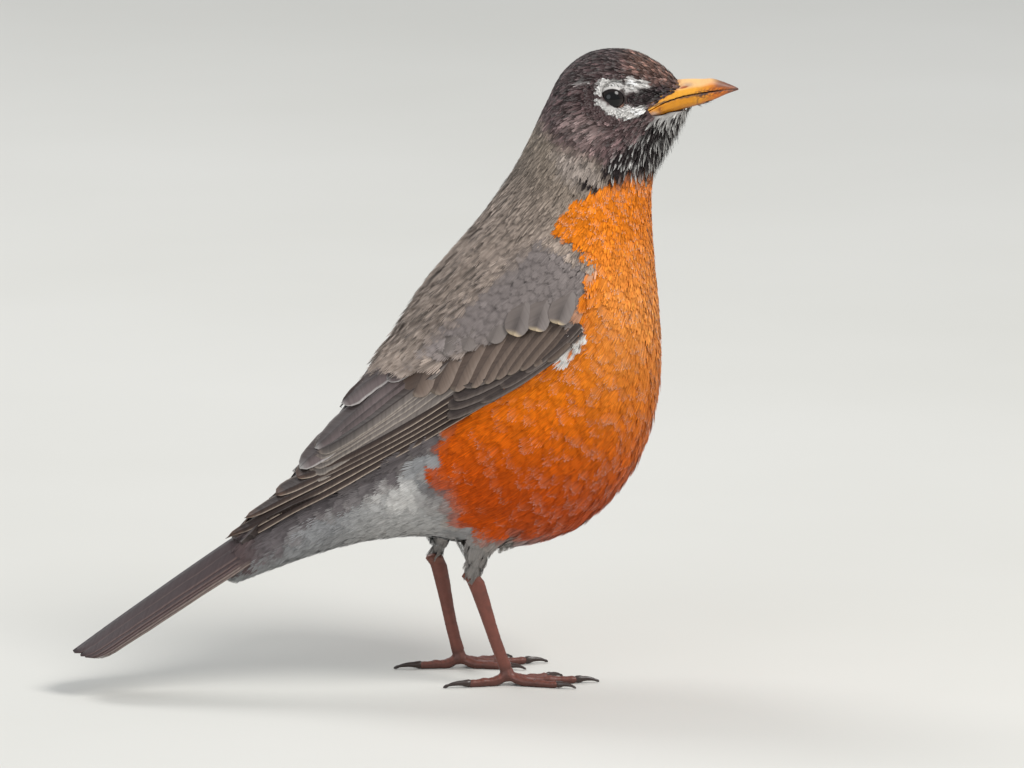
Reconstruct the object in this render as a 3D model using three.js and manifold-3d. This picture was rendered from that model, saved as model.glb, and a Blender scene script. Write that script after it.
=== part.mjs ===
// An adult male American robin (Turdus migratorius), life size, standing upright and alert.
// Millimetres. +X is the way the bird faces, +Y its left, +Z up, and the floor is z = 0.
// Every piece is a closed loft or an extruded outline, joined and cut with manifold-3d.
import * as THREE from "three";
import { mergeVertices } from "three/addons/utils/BufferGeometryUtils.js";
import Module from "manifold-3d";

const wasm = await Module();
wasm.setup();

// ---------------------------------------------------------------- driving dimensions

const GAP = 0.32; // between pieces that touch
const SIDES = { right: -1, left: 1 }; // sign of Y
const HEAD_TURN = THREE.MathUtils.degToRad(-12); // the head looks a little to the bird's right
const NECK_PIVOT_X = 22.5; // the upright axis that the head turns about
const BODY_FACETS = 22; // corners of a body section
const BODY_STEPS = 2; // sections for each pair of stations

// Stations from the tail coverts to the bill. A section runs from its back point to its belly point, [x, z]:
// half is half its width, widest says how far down it is broadest, and wingBack is the height of the folded
// wings above the back, where they hide it.
const STATIONS = [
  { back: [-90.0, 35.6], belly: [-82.4, 31.2], half: 8.6, widest: 0.5, wingBack: 1.0 }, // tail coverts
  { back: [-72.0, 48.6], belly: [-63.6, 37.4], half: 12.0, widest: 0.48, wingBack: 3.2 },
  { back: [-56.6, 62.9], belly: [-44.6, 42.0], half: 16.5, widest: 0.46, wingBack: 4.6 }, // rump and vent
  { back: [-44.2, 79.2], belly: [-25.2, 42.6], half: 22.0, widest: 0.46, wingBack: 4.2 },
  { back: [-36.2, 94.4], belly: [-3.6, 38.2], half: 27.4, widest: 0.48, wingBack: 1.8 }, // legs
  { back: [-28.7, 110.0], belly: [19.4, 43.4], half: 30.8, widest: 0.5, wingBack: 0.4 },
  { back: [-19.3, 123.6], belly: [36.0, 60.8], half: 32.2, widest: 0.52, wingBack: 0 }, // shoulders
  { back: [-9.7, 134.4], belly: [42.6, 82.7], half: 31.8, widest: 0.53, wingBack: 0 }, // breast
  { back: [-3.0, 142.9], belly: [42.8, 103.3], half: 28.8, widest: 0.52, wingBack: 0 },
  { back: [1.8, 149.6], belly: [41.4, 122.5], half: 23.6, widest: 0.5, wingBack: 0 },
  { back: [5.3, 156.2], belly: [40.6, 137.2], half: 19.2, widest: 0.48, wingBack: 0 }, // neck
  { back: [8.2, 162.5], belly: [41.6, 147.2], half: 16.0, widest: 0.46, wingBack: 0 }, // throat
  { back: [11.4, 169.3], belly: [45.7, 154.6], half: 14.4, widest: 0.46, wingBack: 0 },
  { back: [15.2, 176.6], belly: [48.9, 160.3], half: 13.5, widest: 0.47, wingBack: 0 }, // ear coverts
  { back: [23.0, 182.5], belly: [50.6, 163.3], half: 12.0, widest: 0.5, wingBack: 0 }, // crown and eyes
  { back: [33.2, 183.4], belly: [51.2, 165.0], half: 10.4, widest: 0.52, wingBack: 0 },
  { back: [42.5, 181.2], belly: [51.3, 166.2], half: 9.2, widest: 0.54, wingBack: 0 }, // forehead and chin
  { back: [47.0, 178.0], belly: [50.6, 167.6], half: 7.8, widest: 0.54, wingBack: 0 },
  { back: [48.3, 174.9], belly: [49.9, 169.0], half: 6.2, widest: 0.54, wingBack: 0 }, // root of the bill
];
const CUT = { rump: 2.6, neck: 8.7, head: 10.9 }; // stations where rump, trunk, neck and head part
const PART_GAP = 0.05; // in stations, at least GAP wide
const TURN = { from: 7.5, to: 12 }; // stations over which the turn of the head grows
// In front of the ears the head narrows like a wedge, from x = from to x = to, to a share of its width.
const FACE = { from: 27, to: 47, share: 0.5, firstStation: 10.8, fullStation: 12.5 };
const EYE = { centre: [30.2, 8.5, 171.6], radius: 4.6, facets: 14 };

// The bill's lines over its length: culmen, gape and keel are heights at x, half is half the width.
const BILL = [
  { x: 39.0, culmen: 169.6, gape: 165.8, keel: 163.4, half: 7.7 },
  { x: 42.5, culmen: 172.6, gape: 167.6, keel: 163.9, half: 6.4 },
  { x: 46.0, culmen: 174.6, gape: 169.1, keel: 164.7, half: 5.1 },
  { x: 50.5, culmen: 175.3, gape: 170.3, keel: 166.1, half: 3.9 },
  { x: 55.5, culmen: 175.3, gape: 171.0, keel: 167.5, half: 2.9 },
  { x: 60.0, culmen: 174.5, gape: 171.5, keel: 169.1, half: 2.0 },
  { x: 63.6, culmen: 173.2, gape: 171.7, keel: 170.5, half: 1.2 },
  { x: 66.0, culmen: 172.1, gape: 171.7, keel: 171.3, half: 0.4 },
];
const BILL_FACETS = 8;
const BILL_STEPS = 2; // sections for each pair of stations
const BILL_FULLNESS = 0.8; // under 1 rounds the sides out

// Outlines of the folded wing's feather groups seen from the side, [x, z], the outermost layer first.
// proud is how far a group stands out from the body's own section.
const WING_GROUPS = {
  shoulder: {
    proud: 3.6,
    material: "coverts",
    outline: [
      [17.6, 127.4], [18.0, 121.0], [15.6, 113.6], [9.4, 109.2], [-4.0, 105.8], [-19.0, 99.4],
      [-31.0, 92.4], [-40.6, 90.4], [-39.6, 94.0], [-31.6, 101.4], [-23.0, 111.6], [-12.0, 121.8],
      [0.6, 130.6], [9.0, 133.0],
    ],
  },
  coverts: {
    proud: 3.1,
    material: "coverts",
    outline: [
      [-34.0, 93.0], [-8.0, 107.0], [10.0, 112.0], [13.8, 106.0], [6.0, 98.8], [-4.0, 93.2],
      [-16.0, 88.4], [-25.0, 85.4], [-33.0, 86.4], [-40.2, 89.0],
    ],
  },
  alula: {
    proud: 2.6,
    material: "flight",
    outline: [
      [8.0, 104.0], [13.6, 104.8], [13.2, 101.4], [5.4, 95.2], [-9.8, 87.0], [-23.4, 81.0],
      [-25.2, 83.6], [-22.0, 88.0], [-8.0, 95.0],
    ],
  },
  tertials: {
    proud: 2.4,
    material: "flight",
    outline: [
      [-30.0, 86.0], [-32.0, 102.0], [-39.0, 103.0], [-48.0, 94.0], [-56.0, 84.4], [-59.5, 77.0],
      [-64.0, 72.0], [-63.0, 69.4], [-67.6, 65.6], [-66.0, 62.4], [-60.0, 64.6], [-45.0, 75.0],
    ],
  },
  secondaries: {
    proud: 1.9,
    material: "flight",
    outline: [
      [-25.0, 88.0], [-40.0, 82.0], [-62.0, 68.0], [-69.6, 61.6], [-68.4, 58.0], [-55.0, 65.0],
      [-40.0, 74.0], [-27.6, 82.2],
    ],
  },
  primaries: {
    proud: 1.4,
    material: "flight",
    outline: [
      [-25.0, 84.0], [-40.0, 80.0], [-66.0, 66.0], [-71.0, 61.5], [-73.6, 57.0], [-71.6, 56.0],
      [-79.6, 50.6], [-78.0, 49.0], [-84.6, 45.6], [-85.6, 42.6], [-81.0, 42.6], [-74.5, 48.6],
      [-66.4, 53.6], [-52.5, 61.0], [-38.5, 68.6], [-27.0, 76.4],
    ],
  },
};
const WING_REACH = 60; // how far out the extruded outlines go
const WING_SPAN = { from: 0.4, to: 10.4 }; // stations that the wing lies on
const WING_FRONT = { from: 6.4, to: 8.2, share: 0.4 }; // stations where it thins to a share at the wrist
const MIDLINE_CLEAR = 0.3; // each wing keeps this far from the bird's middle

// Legs. heel is the joint under the thigh feathers, foot the root of the toes.
const LEGS = {
  right: { heel: [-16.2, 13.6, 35.2], foot: [-4.5, 14.2, 4.0] },
  left: { heel: [-21.2, 13.6, 36.3], foot: [-12.8, 14.2, 4.0] },
};
// The feathered thigh: steps from the heel, forward, out and up, then half its width and half its depth.
const THIGH = [
  [10.5, 2.6, 24.0, 9.0, 10.0], // hidden in the belly
  [6.5, 1.8, 14.9, 6.2, 7.6],
  [3.6, 0.8, 6.2, 3.9, 4.7],
  [1.6, 0.0, 1.6, 2.5, 3.0],
  [1.0, 0.0, -0.4, 1.9, 2.3],
];
const THIGH_FACETS = 12;
const SHIN_HALF = { side: 1.45, front: 1.85 };
const SHIN_TOP = { forward: 0.6, up: 1.6, thick: 0.75 }; // the end inside the thigh's feathers
// Down the shin: the share of its length and its thickness there, thickest at the heel.
const SHIN = [
  [0.01, 1.25],
  [0.12, 1.08],
  [0.5, 1.0],
  [0.86, 0.97],
  [0.965, 1.1],
];
const SHIN_FACETS = 10;
const TOE_LIFT = 1.18; // height of a toe's axis, less than its radius, so that it stands on a flat
const TOE_ROOT_DROP = 1.6; // from the foot's root
// Along a toe: the share of its length, its height in lifts and its thickness, with a pad at each joint.
const TOE = [
  [-0.03, 2.0, 0.95],
  [0.14, 1.85, 1.02],
  [0.3, 1.0, 1.14],
  [0.48, 0.94, 0.88],
  [0.62, 0.96, 1.06],
  [0.8, 0.78, 0.78],
  [0.92, 0.84, 0.92],
  [1.0, 0.92, 0.6],
];
// Along a claw, the same: curved, and just off the floor.
const CLAW = [
  [0, 0.95, 0.62],
  [0.35, 1.12, 0.5],
  [0.72, 0.86, 0.32],
  [1.0, 0.3, 0.1],
];
const KNUCKLE = { topShare: 0.022 }; // how far up the shin's line it reaches
const CLAW_NARROW = 0.8; // its width for its depth
const TOE_FACETS = 7;
// Toes fan out from the foot. splay is outwards from straight ahead, in degrees.
const TOES = {
  inner: { splay: -24, length: 14.5, radius: 1.35, claw: 5.2 },
  middle: { splay: 4, length: 20.5, radius: 1.45, claw: 6.2 },
  outer: { splay: 30, length: 15.5, radius: 1.3, claw: 5.2 },
  hind: { splay: 176, length: 11.5, radius: 1.5, claw: 7.4 },
};

// Tail: twelve feathers, the middle pair on top. Points are on the tail's centre line, [x, z].
const TAIL_LINE = [
  [-66.0, 48.2],
  [-80.0, 40.6],
  [-94.0, 32.4],
  [-108.0, 23.8],
  [-119.0, 16.8],
  [-129.4, 10.4],
];
const TAIL_PAIRS = 6;
const TAIL_FEATHER = { half: 4.3, thick: 0.62, layer: 0.34, shorter: 0.014 };
const TAIL_FAN = { first: 1.5, step: 1.15, atRoot: 0.72 }; // sideways places, and the share of them at the root
// Along a tail feather: the share of its length and of its half width.
const TAIL_VANE = [
  [0, 0.55],
  [0.3, 0.85],
  [0.6, 1],
  [0.85, 1],
  [0.95, 0.74],
  [1, 0.22],
];

// ---------------------------------------------------------------- colours

const finish = (hex, roughness) =>
  new THREE.MeshStandardMaterial({ color: hex, roughness, metalness: 0 });
const MATERIALS = {
  blackish: finish(0x4a4144, 0.9),
  backGrey: finish(0x857a71, 0.9),
  orange: finish(0xc86419, 0.9),
  paleGrey: finish(0xaaa8a8, 0.9),
  coverts: finish(0x7f7672, 0.85),
  flight: finish(0x5e5350, 0.75),
  tail: finish(0x564a4d, 0.7),
  eye: finish(0x14100f, 0.05),
  bill: finish(0xe8a02c, 0.35),
  leg: finish(0x7a4636, 0.5),
  claw: finish(0x3b2a24, 0.4),
};

// ---------------------------------------------------------------- solids and lofts

// A closed geometry as a manifold-3d solid with its faces pointing out.
function solid(geometry) {
  const bare = geometry.clone();
  bare.deleteAttribute("normal");
  bare.deleteAttribute("uv");
  const merged = mergeVertices(bare, 1e-4);
  const made = (triVerts) =>
    new wasm.Manifold(
      new wasm.Mesh({ numProp: 3, vertProperties: merged.attributes.position.array, triVerts }),
    );
  const triVerts = new Uint32Array(merged.index.array);
  const first = made(triVerts);
  return first.volume() > 0 ? first : made(triVerts.reverse());
}

function geometryOf(manifold) {
  const { vertProperties, triVerts } = manifold.getMesh();
  const geometry = new THREE.BufferGeometry();
  geometry.setAttribute("position", new THREE.BufferAttribute(vertProperties, 3));
  geometry.setIndex(new THREE.BufferAttribute(triVerts, 1));
  geometry.computeVertexNormals();
  return geometry;
}

const union = (solids) => solids.reduce((a, b) => a.add(b));

// The biggest body of a cut solid, without crumbs.
const largest = (cut) => cut.decompose().reduce((a, b) => (a.volume() > b.volume() ? a : b));

// A closed skin over rings of equally many points, with a fan over each end.
function loft(rings) {
  const around = rings[0].length;
  const middle = (ring) =>
    ring.reduce((sum, p) => sum.add(p), new THREE.Vector3()).divideScalar(around);
  const points = [...rings.flat(), middle(rings[0]), middle(rings.at(-1))];
  const [startCentre, endCentre] = [points.length - 2, points.length - 1];
  const lastRing = (rings.length - 1) * around;
  const faces = [];
  for (let j = 0; j < around; j++) {
    const k = (j + 1) % around;
    for (let i = 0; i < rings.length - 1; i++) {
      const [a, b] = [i * around + j, i * around + k];
      faces.push(a, b, a + around, b, b + around, a + around);
    }
    faces.push(startCentre, k, j, endCentre, lastRing + j, lastRing + k);
  }
  const geometry = new THREE.BufferGeometry().setFromPoints(points);
  geometry.setIndex(faces);
  return solid(geometry);
}

// Numbers or points along a smooth line through the given ones; at counts them from 0.
function along(values) {
  const points = values.map((v) => new THREE.Vector3(...v));
  const curve = new THREE.CatmullRomCurve3(points, false, "centripetal");
  return (at) => curve.getPoint(THREE.MathUtils.clamp(at / (points.length - 1), 0, 1));
}

// Rings round a path. Each stop is [x, y, z, side radius, front radius]; side is the way the side radius points.
function limb(stops, side, steps, facets) {
  const centres = along(stops.map((s) => s.slice(0, 3)));
  const radii = along(stops.map((s) => [s[3], s[4], 0]));
  const rings = [];
  const last = stops.length - 1;
  for (let i = 0; i <= steps; i++) {
    const at = (i / steps) * last;
    const ahead = centres(Math.min(at + 0.02, last)).sub(centres(Math.max(at - 0.02, 0))).normalize();
    const across = side.clone().addScaledVector(ahead, -side.dot(ahead)).normalize();
    const front = new THREE.Vector3().crossVectors(ahead, across);
    const { x: sideRadius, y: frontRadius } = radii(at);
    rings.push(
      Array.from({ length: facets }, (_, k) => {
        const angle = ((k + 0.5) / facets) * 2 * Math.PI;
        return centres(at)
          .addScaledVector(across, sideRadius * Math.cos(angle))
          .addScaledVector(front, frontRadius * Math.sin(angle));
      }),
    );
  }
  return loft(rings);
}

// ---------------------------------------------------------------- body

const backLine = along(STATIONS.map((s) => [s.back[0], 0, s.back[1]]));
const bellyLine = along(STATIONS.map((s) => [s.belly[0], 0, s.belly[1]]));
const breadth = along(STATIONS.map((s) => [s.half, s.widest, s.wingBack]));

// Turns a point with the head, by a share of the whole turn.
function turned(point, share = 1) {
  const angle = HEAD_TURN * share;
  const [x, y] = [point.x - NECK_PIVOT_X, point.y];
  point.x = NECK_PIVOT_X + x * Math.cos(angle) - y * Math.sin(angle);
  point.y = x * Math.sin(angle) + y * Math.cos(angle);
  return point;
}

// One section of the body. grow moves its outline out all round, and wing adds the folded wings' thickness,
// which tapers to its share at the front edge.
function bodyRing(at, grow = 0, wing = 0) {
  const [back, belly, size] = [backLine(at), bellyLine(at), breadth(at)];
  const up = back.clone().sub(belly).normalize();
  back.addScaledVector(up, grow + (wing > 0 ? size.z : 0));
  belly.addScaledVector(up, -grow);
  const taper = 1 - (1 - WING_FRONT.share) * THREE.MathUtils.smoothstep(at, WING_FRONT.from, WING_FRONT.to);
  const half = size.x + grow + wing * taper;
  const skew = Math.log(size.y) / Math.log(0.5);
  const share = THREE.MathUtils.smoothstep(at, TURN.from, TURN.to);
  const faceShare = THREE.MathUtils.smoothstep(at, FACE.firstStation, FACE.fullStation);
  return Array.from({ length: BODY_FACETS }, (_, k) => {
    const angle = (k / BODY_FACETS) * 2 * Math.PI;
    const down = Math.pow((1 - Math.cos(angle)) / 2, skew);
    const point = back.clone().lerp(belly, down);
    const wedge = THREE.MathUtils.smoothstep(point.x, FACE.from, FACE.to) * faceShare;
    point.y = half * Math.sin(angle) * (1 - (1 - FACE.share) * wedge);
    return turned(point, share);
  });
}

function body(from, to, grow = 0, wing = 0) {
  const stops = [from];
  for (let i = Math.floor(from * BODY_STEPS) + 1; i < to * BODY_STEPS; i++) stops.push(i / BODY_STEPS);
  stops.push(to);
  const rings = stops.map((at) => bodyRing(at, grow, wing));
  if (grow > 0) {
    // Past each end too, by a ring moved straight out.
    const push = (ring, next) => {
      const out = ring[0].clone().sub(next[0]).normalize().multiplyScalar(grow);
      return ring.map((p) => p.clone().add(out));
    };
    rings.unshift(push(rings[0], rings[1]));
    rings.push(push(rings.at(-1), rings.at(-2)));
  }
  return loft(rings);
}

const LAST_STATION = STATIONS.length - 1;
const wholeBodyClear = body(0, LAST_STATION, GAP);

const eyeBall = (sign, grow = 0) => {
  const ball = new THREE.SphereGeometry(EYE.radius + grow, EYE.facets, EYE.facets - 4);
  const centre = turned(new THREE.Vector3(EYE.centre[0], sign * EYE.centre[1], EYE.centre[2]));
  return solid(ball.translate(centre.x, centre.y, centre.z));
};

// ---------------------------------------------------------------- bill

const billLine = along(BILL.map((b) => [b.culmen, b.gape, b.keel]));
const billBreadth = along(BILL.map((b) => [b.x, b.half, 0]));

// One half of the bill, from the gape to an edge: the culmen above or the keel below. grow widens it all round.
function billHalf(edge, sign, grow = 0) {
  const rings = [];
  const steps = (BILL.length - 1) * BILL_STEPS;
  for (let i = 0; i <= steps; i++) {
    const at = i / BILL_STEPS;
    const heights = billLine(at);
    const { x, y: half } = billBreadth(at);
    const base = heights.y + sign * (GAP / 2 - grow);
    const reach = heights[edge] + sign * grow - base;
    rings.push(
      Array.from({ length: BILL_FACETS }, (_, k) => {
        const angle = (k / (BILL_FACETS - 1)) * Math.PI;
        const z = base + reach * Math.pow(Math.sin(angle), BILL_FULLNESS);
        return turned(new THREE.Vector3(x, (half + grow) * Math.cos(angle), z));
      }),
    );
  }
  return loft(rings);
}

// ---------------------------------------------------------------- wings

// An outline extruded sideways, from near the middle out past the wing.
function sideways(outline, sign) {
  const shape = new THREE.Shape(outline.map(([x, z]) => new THREE.Vector2(x, z)));
  const slab = new THREE.ExtrudeGeometry(shape, { depth: WING_REACH, bevelEnabled: false });
  slab.rotateX(Math.PI / 2); // the outline's second axis becomes z, its depth -Y
  slab.translate(0, -MIDLINE_CLEAR, 0);
  if (sign > 0) slab.scale(1, -1, 1);
  return solid(slab);
}

// The same solid a gap wider in the side view.
const widened = (block) =>
  union([-GAP, 0, GAP].flatMap((dx) => [-GAP, 0, GAP].map((dz) => block.translate([dx, 0, dz]))));

function wing(sign) {
  const groups = {};
  let covered = null;
  for (const [name, { proud, outline }] of Object.entries(WING_GROUPS)) {
    const block = sideways(outline, sign);
    let group = block.intersect(body(WING_SPAN.from, WING_SPAN.to, 0, proud));
    group = group.subtract(wholeBodyClear);
    if (covered) group = group.subtract(covered);
    covered = covered ? covered.add(widened(block)) : widened(block);
    groups[name] = largest(group);
  }
  return groups;
}

// ---------------------------------------------------------------- tail

// One tail feather: a flat blade with a round tip, on the tail's line, out to one side and down a layer.
function tailFeather(pair, sign) {
  const line = along(TAIL_LINE.map(([x, z]) => [x, 0, z]));
  const { half, thick, layer, shorter } = TAIL_FEATHER;
  const last = (TAIL_LINE.length - 1) * (1 - shorter * pair);
  const out = sign * (TAIL_FAN.first + TAIL_FAN.step * pair);
  return loft(
    TAIL_VANE.map(([share, fullness]) => {
      const centre = line(share * last);
      centre.z -= layer * pair;
      centre.y = out * THREE.MathUtils.lerp(TAIL_FAN.atRoot, 1, share);
      const corner = (dy, dz) => new THREE.Vector3(centre.x, centre.y + dy * half * fullness, centre.z + dz * thick);
      return [
        corner(-1, -0.8), corner(0, -0.5), corner(1, -0.8),
        corner(1, -0.1), corner(0, 0.5), corner(-1, -0.1),
      ];
    }),
  );
}

function wholeTail() {
  const feathers = [];
  for (let pair = 0; pair < TAIL_PAIRS; pair++)
    for (const sign of Object.values(SIDES)) feathers.push(tailFeather(pair, sign));
  return union(feathers);
}

// ---------------------------------------------------------------- legs

const UP = new THREE.Vector3(0, 0, 1);
const ACROSS = new THREE.Vector3(0, 1, 0);

function thigh(side) {
  const [x, y, z] = LEGS[side].heel;
  const stops = THIGH.map(([forward, out, up, half, depth]) => [
    x + forward, SIDES[side] * (y + out), z + up, half, depth,
  ]);
  return limb(stops, ACROSS, THIGH.length + 2, THIGH_FACETS);
}

function shin(side, grow = 0) {
  const { heel, foot: root } = LEGS[side];
  const at = (share, thick) => {
    const [x, y, z] = heel.map((from, axis) => THREE.MathUtils.lerp(from, root[axis], share));
    return [x, SIDES[side] * y, z, SHIN_HALF.side * thick + grow, SHIN_HALF.front * thick + grow];
  };
  const top = at(0, SHIN_TOP.thick);
  top[0] += SHIN_TOP.forward;
  top[2] += SHIN_TOP.up + grow;
  return limb([top, ...SHIN.map(([share, thick]) => at(share, thick))], ACROSS, SHIN.length + 4, SHIN_FACETS);
}

// A toe or claw from its profile, flat on the floor and out from the foot's root.
function digit(root, sign, splay, profile, { from, length, half, depth }, steps, facets) {
  const angle = THREE.MathUtils.degToRad(splay) * sign;
  const way = new THREE.Vector3(Math.cos(angle), Math.sin(angle), 0);
  const stops = profile.map(([share, lifts, thick]) => {
    const p = root.clone().addScaledVector(way, from + length * share);
    return [p.x, p.y, TOE_LIFT * lifts, half * thick, depth * thick];
  });
  return limb(stops, new THREE.Vector3().crossVectors(UP, way), steps, facets);
}

function toe(root, { splay, length, radius }, sign) {
  const size = { from: 0, length, half: radius, depth: radius };
  return digit(root, sign, splay, TOE, size, TOE.length + 1, TOE_FACETS);
}

function claw(root, { splay, length, radius, claw: reach }, sign) {
  const size = { from: length + GAP, length: reach, half: radius * CLAW_NARROW, depth: radius };
  return digit(root, sign, splay, CLAW, size, CLAW.length, TOE_FACETS - 1);
}

// Everything above the floor, so that soles end in flats at z = 0.
function aboveFloor(shape) {
  const size = 400;
  const block = new THREE.BoxGeometry(size, size, size).translate(0, 0, size / 2);
  return shape.intersect(solid(block));
}

// The knuckle that the toes grow from, under the end of the shin.
function knuckle(side) {
  const [x, y, z] = LEGS[side].foot;
  const root = new THREE.Vector3(x, SIDES[side] * y, z);
  const heel = new THREE.Vector3(LEGS[side].heel[0], SIDES[side] * LEGS[side].heel[1], LEGS[side].heel[2]);
  const top = root.clone().lerp(heel, KNUCKLE.topShare);
  const stops = [
    [top.x, top.y, top.z, 1.55, 1.95],
    [root.x + 0.2, root.y, z - 1.3, 2.1, 2.3],
    [root.x + 0.5, root.y, z - 2.6, 1.5, 1.7],
  ];
  return limb(stops, ACROSS, 5, TOE_FACETS);
}

function foot(side) {
  const [x, y, z] = LEGS[side].foot;
  const root = new THREE.Vector3(x, SIDES[side] * y, z - TOE_ROOT_DROP);
  const toes = Object.values(TOES).map((t) => toe(root, t, SIDES[side]));
  const claws = Object.entries(TOES).map(([name, t]) => [name, aboveFloor(claw(root, t, SIDES[side]))]);
  return { sole: aboveFloor(union([knuckle(side), ...toes])), claws };
}

// ---------------------------------------------------------------- the bird

const robin = new THREE.Group();

function add(name, manifold, material) {
  const mesh = new THREE.Mesh(geometryOf(manifold), MATERIALS[material]);
  mesh.name = name;
  robin.add(mesh);
}

const head = body(CUT.head + PART_GAP, LAST_STATION)
  .subtract(eyeBall(SIDES.right, GAP))
  .subtract(eyeBall(SIDES.left, GAP))
  .subtract(billHalf("x", 1, GAP))
  .subtract(billHalf("z", -1, GAP));
add("head", head, "blackish");
add("neck", body(CUT.neck + PART_GAP, CUT.head), "backGrey");
add("trunk", body(CUT.rump + PART_GAP, CUT.neck), "orange");
add("rump", body(0, CUT.rump), "paleGrey");
add("bill_upper", billHalf("x", 1), "bill");
add("bill_lower", billHalf("z", -1), "bill");


const tail = wholeTail();
const tailClear = union([-GAP, 0, GAP].map((dz) => tail.translate([0, 0, dz])));
add("tail", largest(tail.subtract(wholeBodyClear)), "tail");

for (const [side, sign] of Object.entries(SIDES)) {
  add(`eye_${side}`, eyeBall(sign), "eye");
  for (const [name, group] of Object.entries(wing(sign))) {
    add(`wing_${side}_${name}`, largest(group.subtract(tailClear)), WING_GROUPS[name].material);
  }
  const feathered = thigh(side).subtract(wholeBodyClear).subtract(shin(side, GAP));
  add(`thigh_${side}`, largest(feathered), "paleGrey");
  add(`shin_${side}`, shin(side), "leg");
  const { sole, claws } = foot(side);
  add(`foot_${side}`, sole, "leg");
  for (const [name, nail] of claws) add(`claw_${side}_${name}`, nail, "claw");
}

// The frame's origin is at the middle of the bird's extent, on the floor.
const extent = new THREE.Box3().setFromObject(robin);
const middle = extent.getCenter(new THREE.Vector3());
robin.position.set(-middle.x, -middle.y, -extent.min.z);

export default robin;
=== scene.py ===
import math

import bmesh
import bpy
import numpy as np
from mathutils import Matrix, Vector
from mathutils.bvhtree import BVHTree


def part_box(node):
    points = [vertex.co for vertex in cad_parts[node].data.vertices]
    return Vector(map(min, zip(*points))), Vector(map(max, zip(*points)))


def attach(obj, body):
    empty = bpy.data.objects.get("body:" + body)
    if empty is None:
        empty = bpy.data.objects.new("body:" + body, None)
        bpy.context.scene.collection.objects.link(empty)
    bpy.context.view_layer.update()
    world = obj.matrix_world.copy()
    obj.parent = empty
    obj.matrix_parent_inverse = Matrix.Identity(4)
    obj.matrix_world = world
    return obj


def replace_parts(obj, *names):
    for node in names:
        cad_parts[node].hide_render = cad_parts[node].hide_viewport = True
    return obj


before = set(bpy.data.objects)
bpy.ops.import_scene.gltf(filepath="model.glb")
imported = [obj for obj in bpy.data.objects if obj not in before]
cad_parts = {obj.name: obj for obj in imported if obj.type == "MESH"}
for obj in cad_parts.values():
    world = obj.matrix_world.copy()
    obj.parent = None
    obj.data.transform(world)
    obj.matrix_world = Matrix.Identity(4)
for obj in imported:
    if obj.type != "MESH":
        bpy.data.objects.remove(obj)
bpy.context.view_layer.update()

MM = 0.001
SIDES = {"right": -1, "left": 1}  # sign of Y
rng = np.random.default_rng(11)


# ---------------------------------------------------------------- colours


def paint(red, green, blue):
    """A display colour, 0 to 255, as the linear colour that shaders take."""
    share = np.array([red, green, blue]) / 255
    return np.where(share <= 0.04045, share / 12.92, ((share + 0.055) / 1.055) ** 2.4)


MANTLE = paint(169, 153, 141)
NAPE = paint(142, 129, 116)
RUMP = paint(106, 97, 96)
HOOD = paint(68, 54, 54)
CHEEK = paint(122, 105, 102)
FOREHEAD = paint(107, 80, 70)
ORANGE = paint(224, 122, 18)
PALE_ORANGE = paint(230, 150, 76)
DEEP_ORANGE = paint(196, 77, 0)
WHITE = paint(226, 223, 219)
# The pale underside's feathers, painted grey with shade as under the body.
VENT_GREY_AND_SHADE = paint(157, 157, 158)
THIGH_GREY = paint(152, 147, 143)
NECK_PALE = paint(150, 139, 132)
SMOKE = paint(112, 105, 106)
BLACK = paint(34, 27, 28)
SHOULDER = paint(134, 125, 122)
TAIL_ROOT = paint(98, 84, 84)
BUFF = paint(214, 178, 138)
# Painted shade between barbs, mixed into the feathers' colours.
BARB_GAP_SHADE = np.full(3, 0.01)  # between barbs
GLOSS_DARK = np.full(3, 0.003)  # deep in the eye
SHAFT_BROWN = paint(44, 34, 31)
HORN_DARK = paint(52, 30, 20)
COLOUR_RANGE = (0.002, 0.95)  # that a painted colour is held in


# ---------------------------------------------------------------- shader trees


class Wire:
    """A socket's output that Python's arithmetic works on."""

    def __init__(self, finish, socket):
        self.finish = finish
        self.socket = socket

    def math(self, operation, *values):
        return self.finish.node("ShaderNodeMath", {"operation": operation}, dict(enumerate(values)))

    def __add__(self, other):
        return self.math("ADD", self, other)

    def __sub__(self, other):
        return self.math("SUBTRACT", self, other)

    def __mul__(self, other):
        return self.math("MULTIPLY", self, other)

    def __rsub__(self, other):
        return self.math("SUBTRACT", other, self)

    __radd__ = __add__
    __rmul__ = __mul__

    def within(self, low, high):
        """0 at low, 1 at high, and held there beyond."""
        return self.finish.node(
            "ShaderNodeMapRange", {"clamp": True}, {"Value": self, "From Min": low, "From Max": high}
        )


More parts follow.
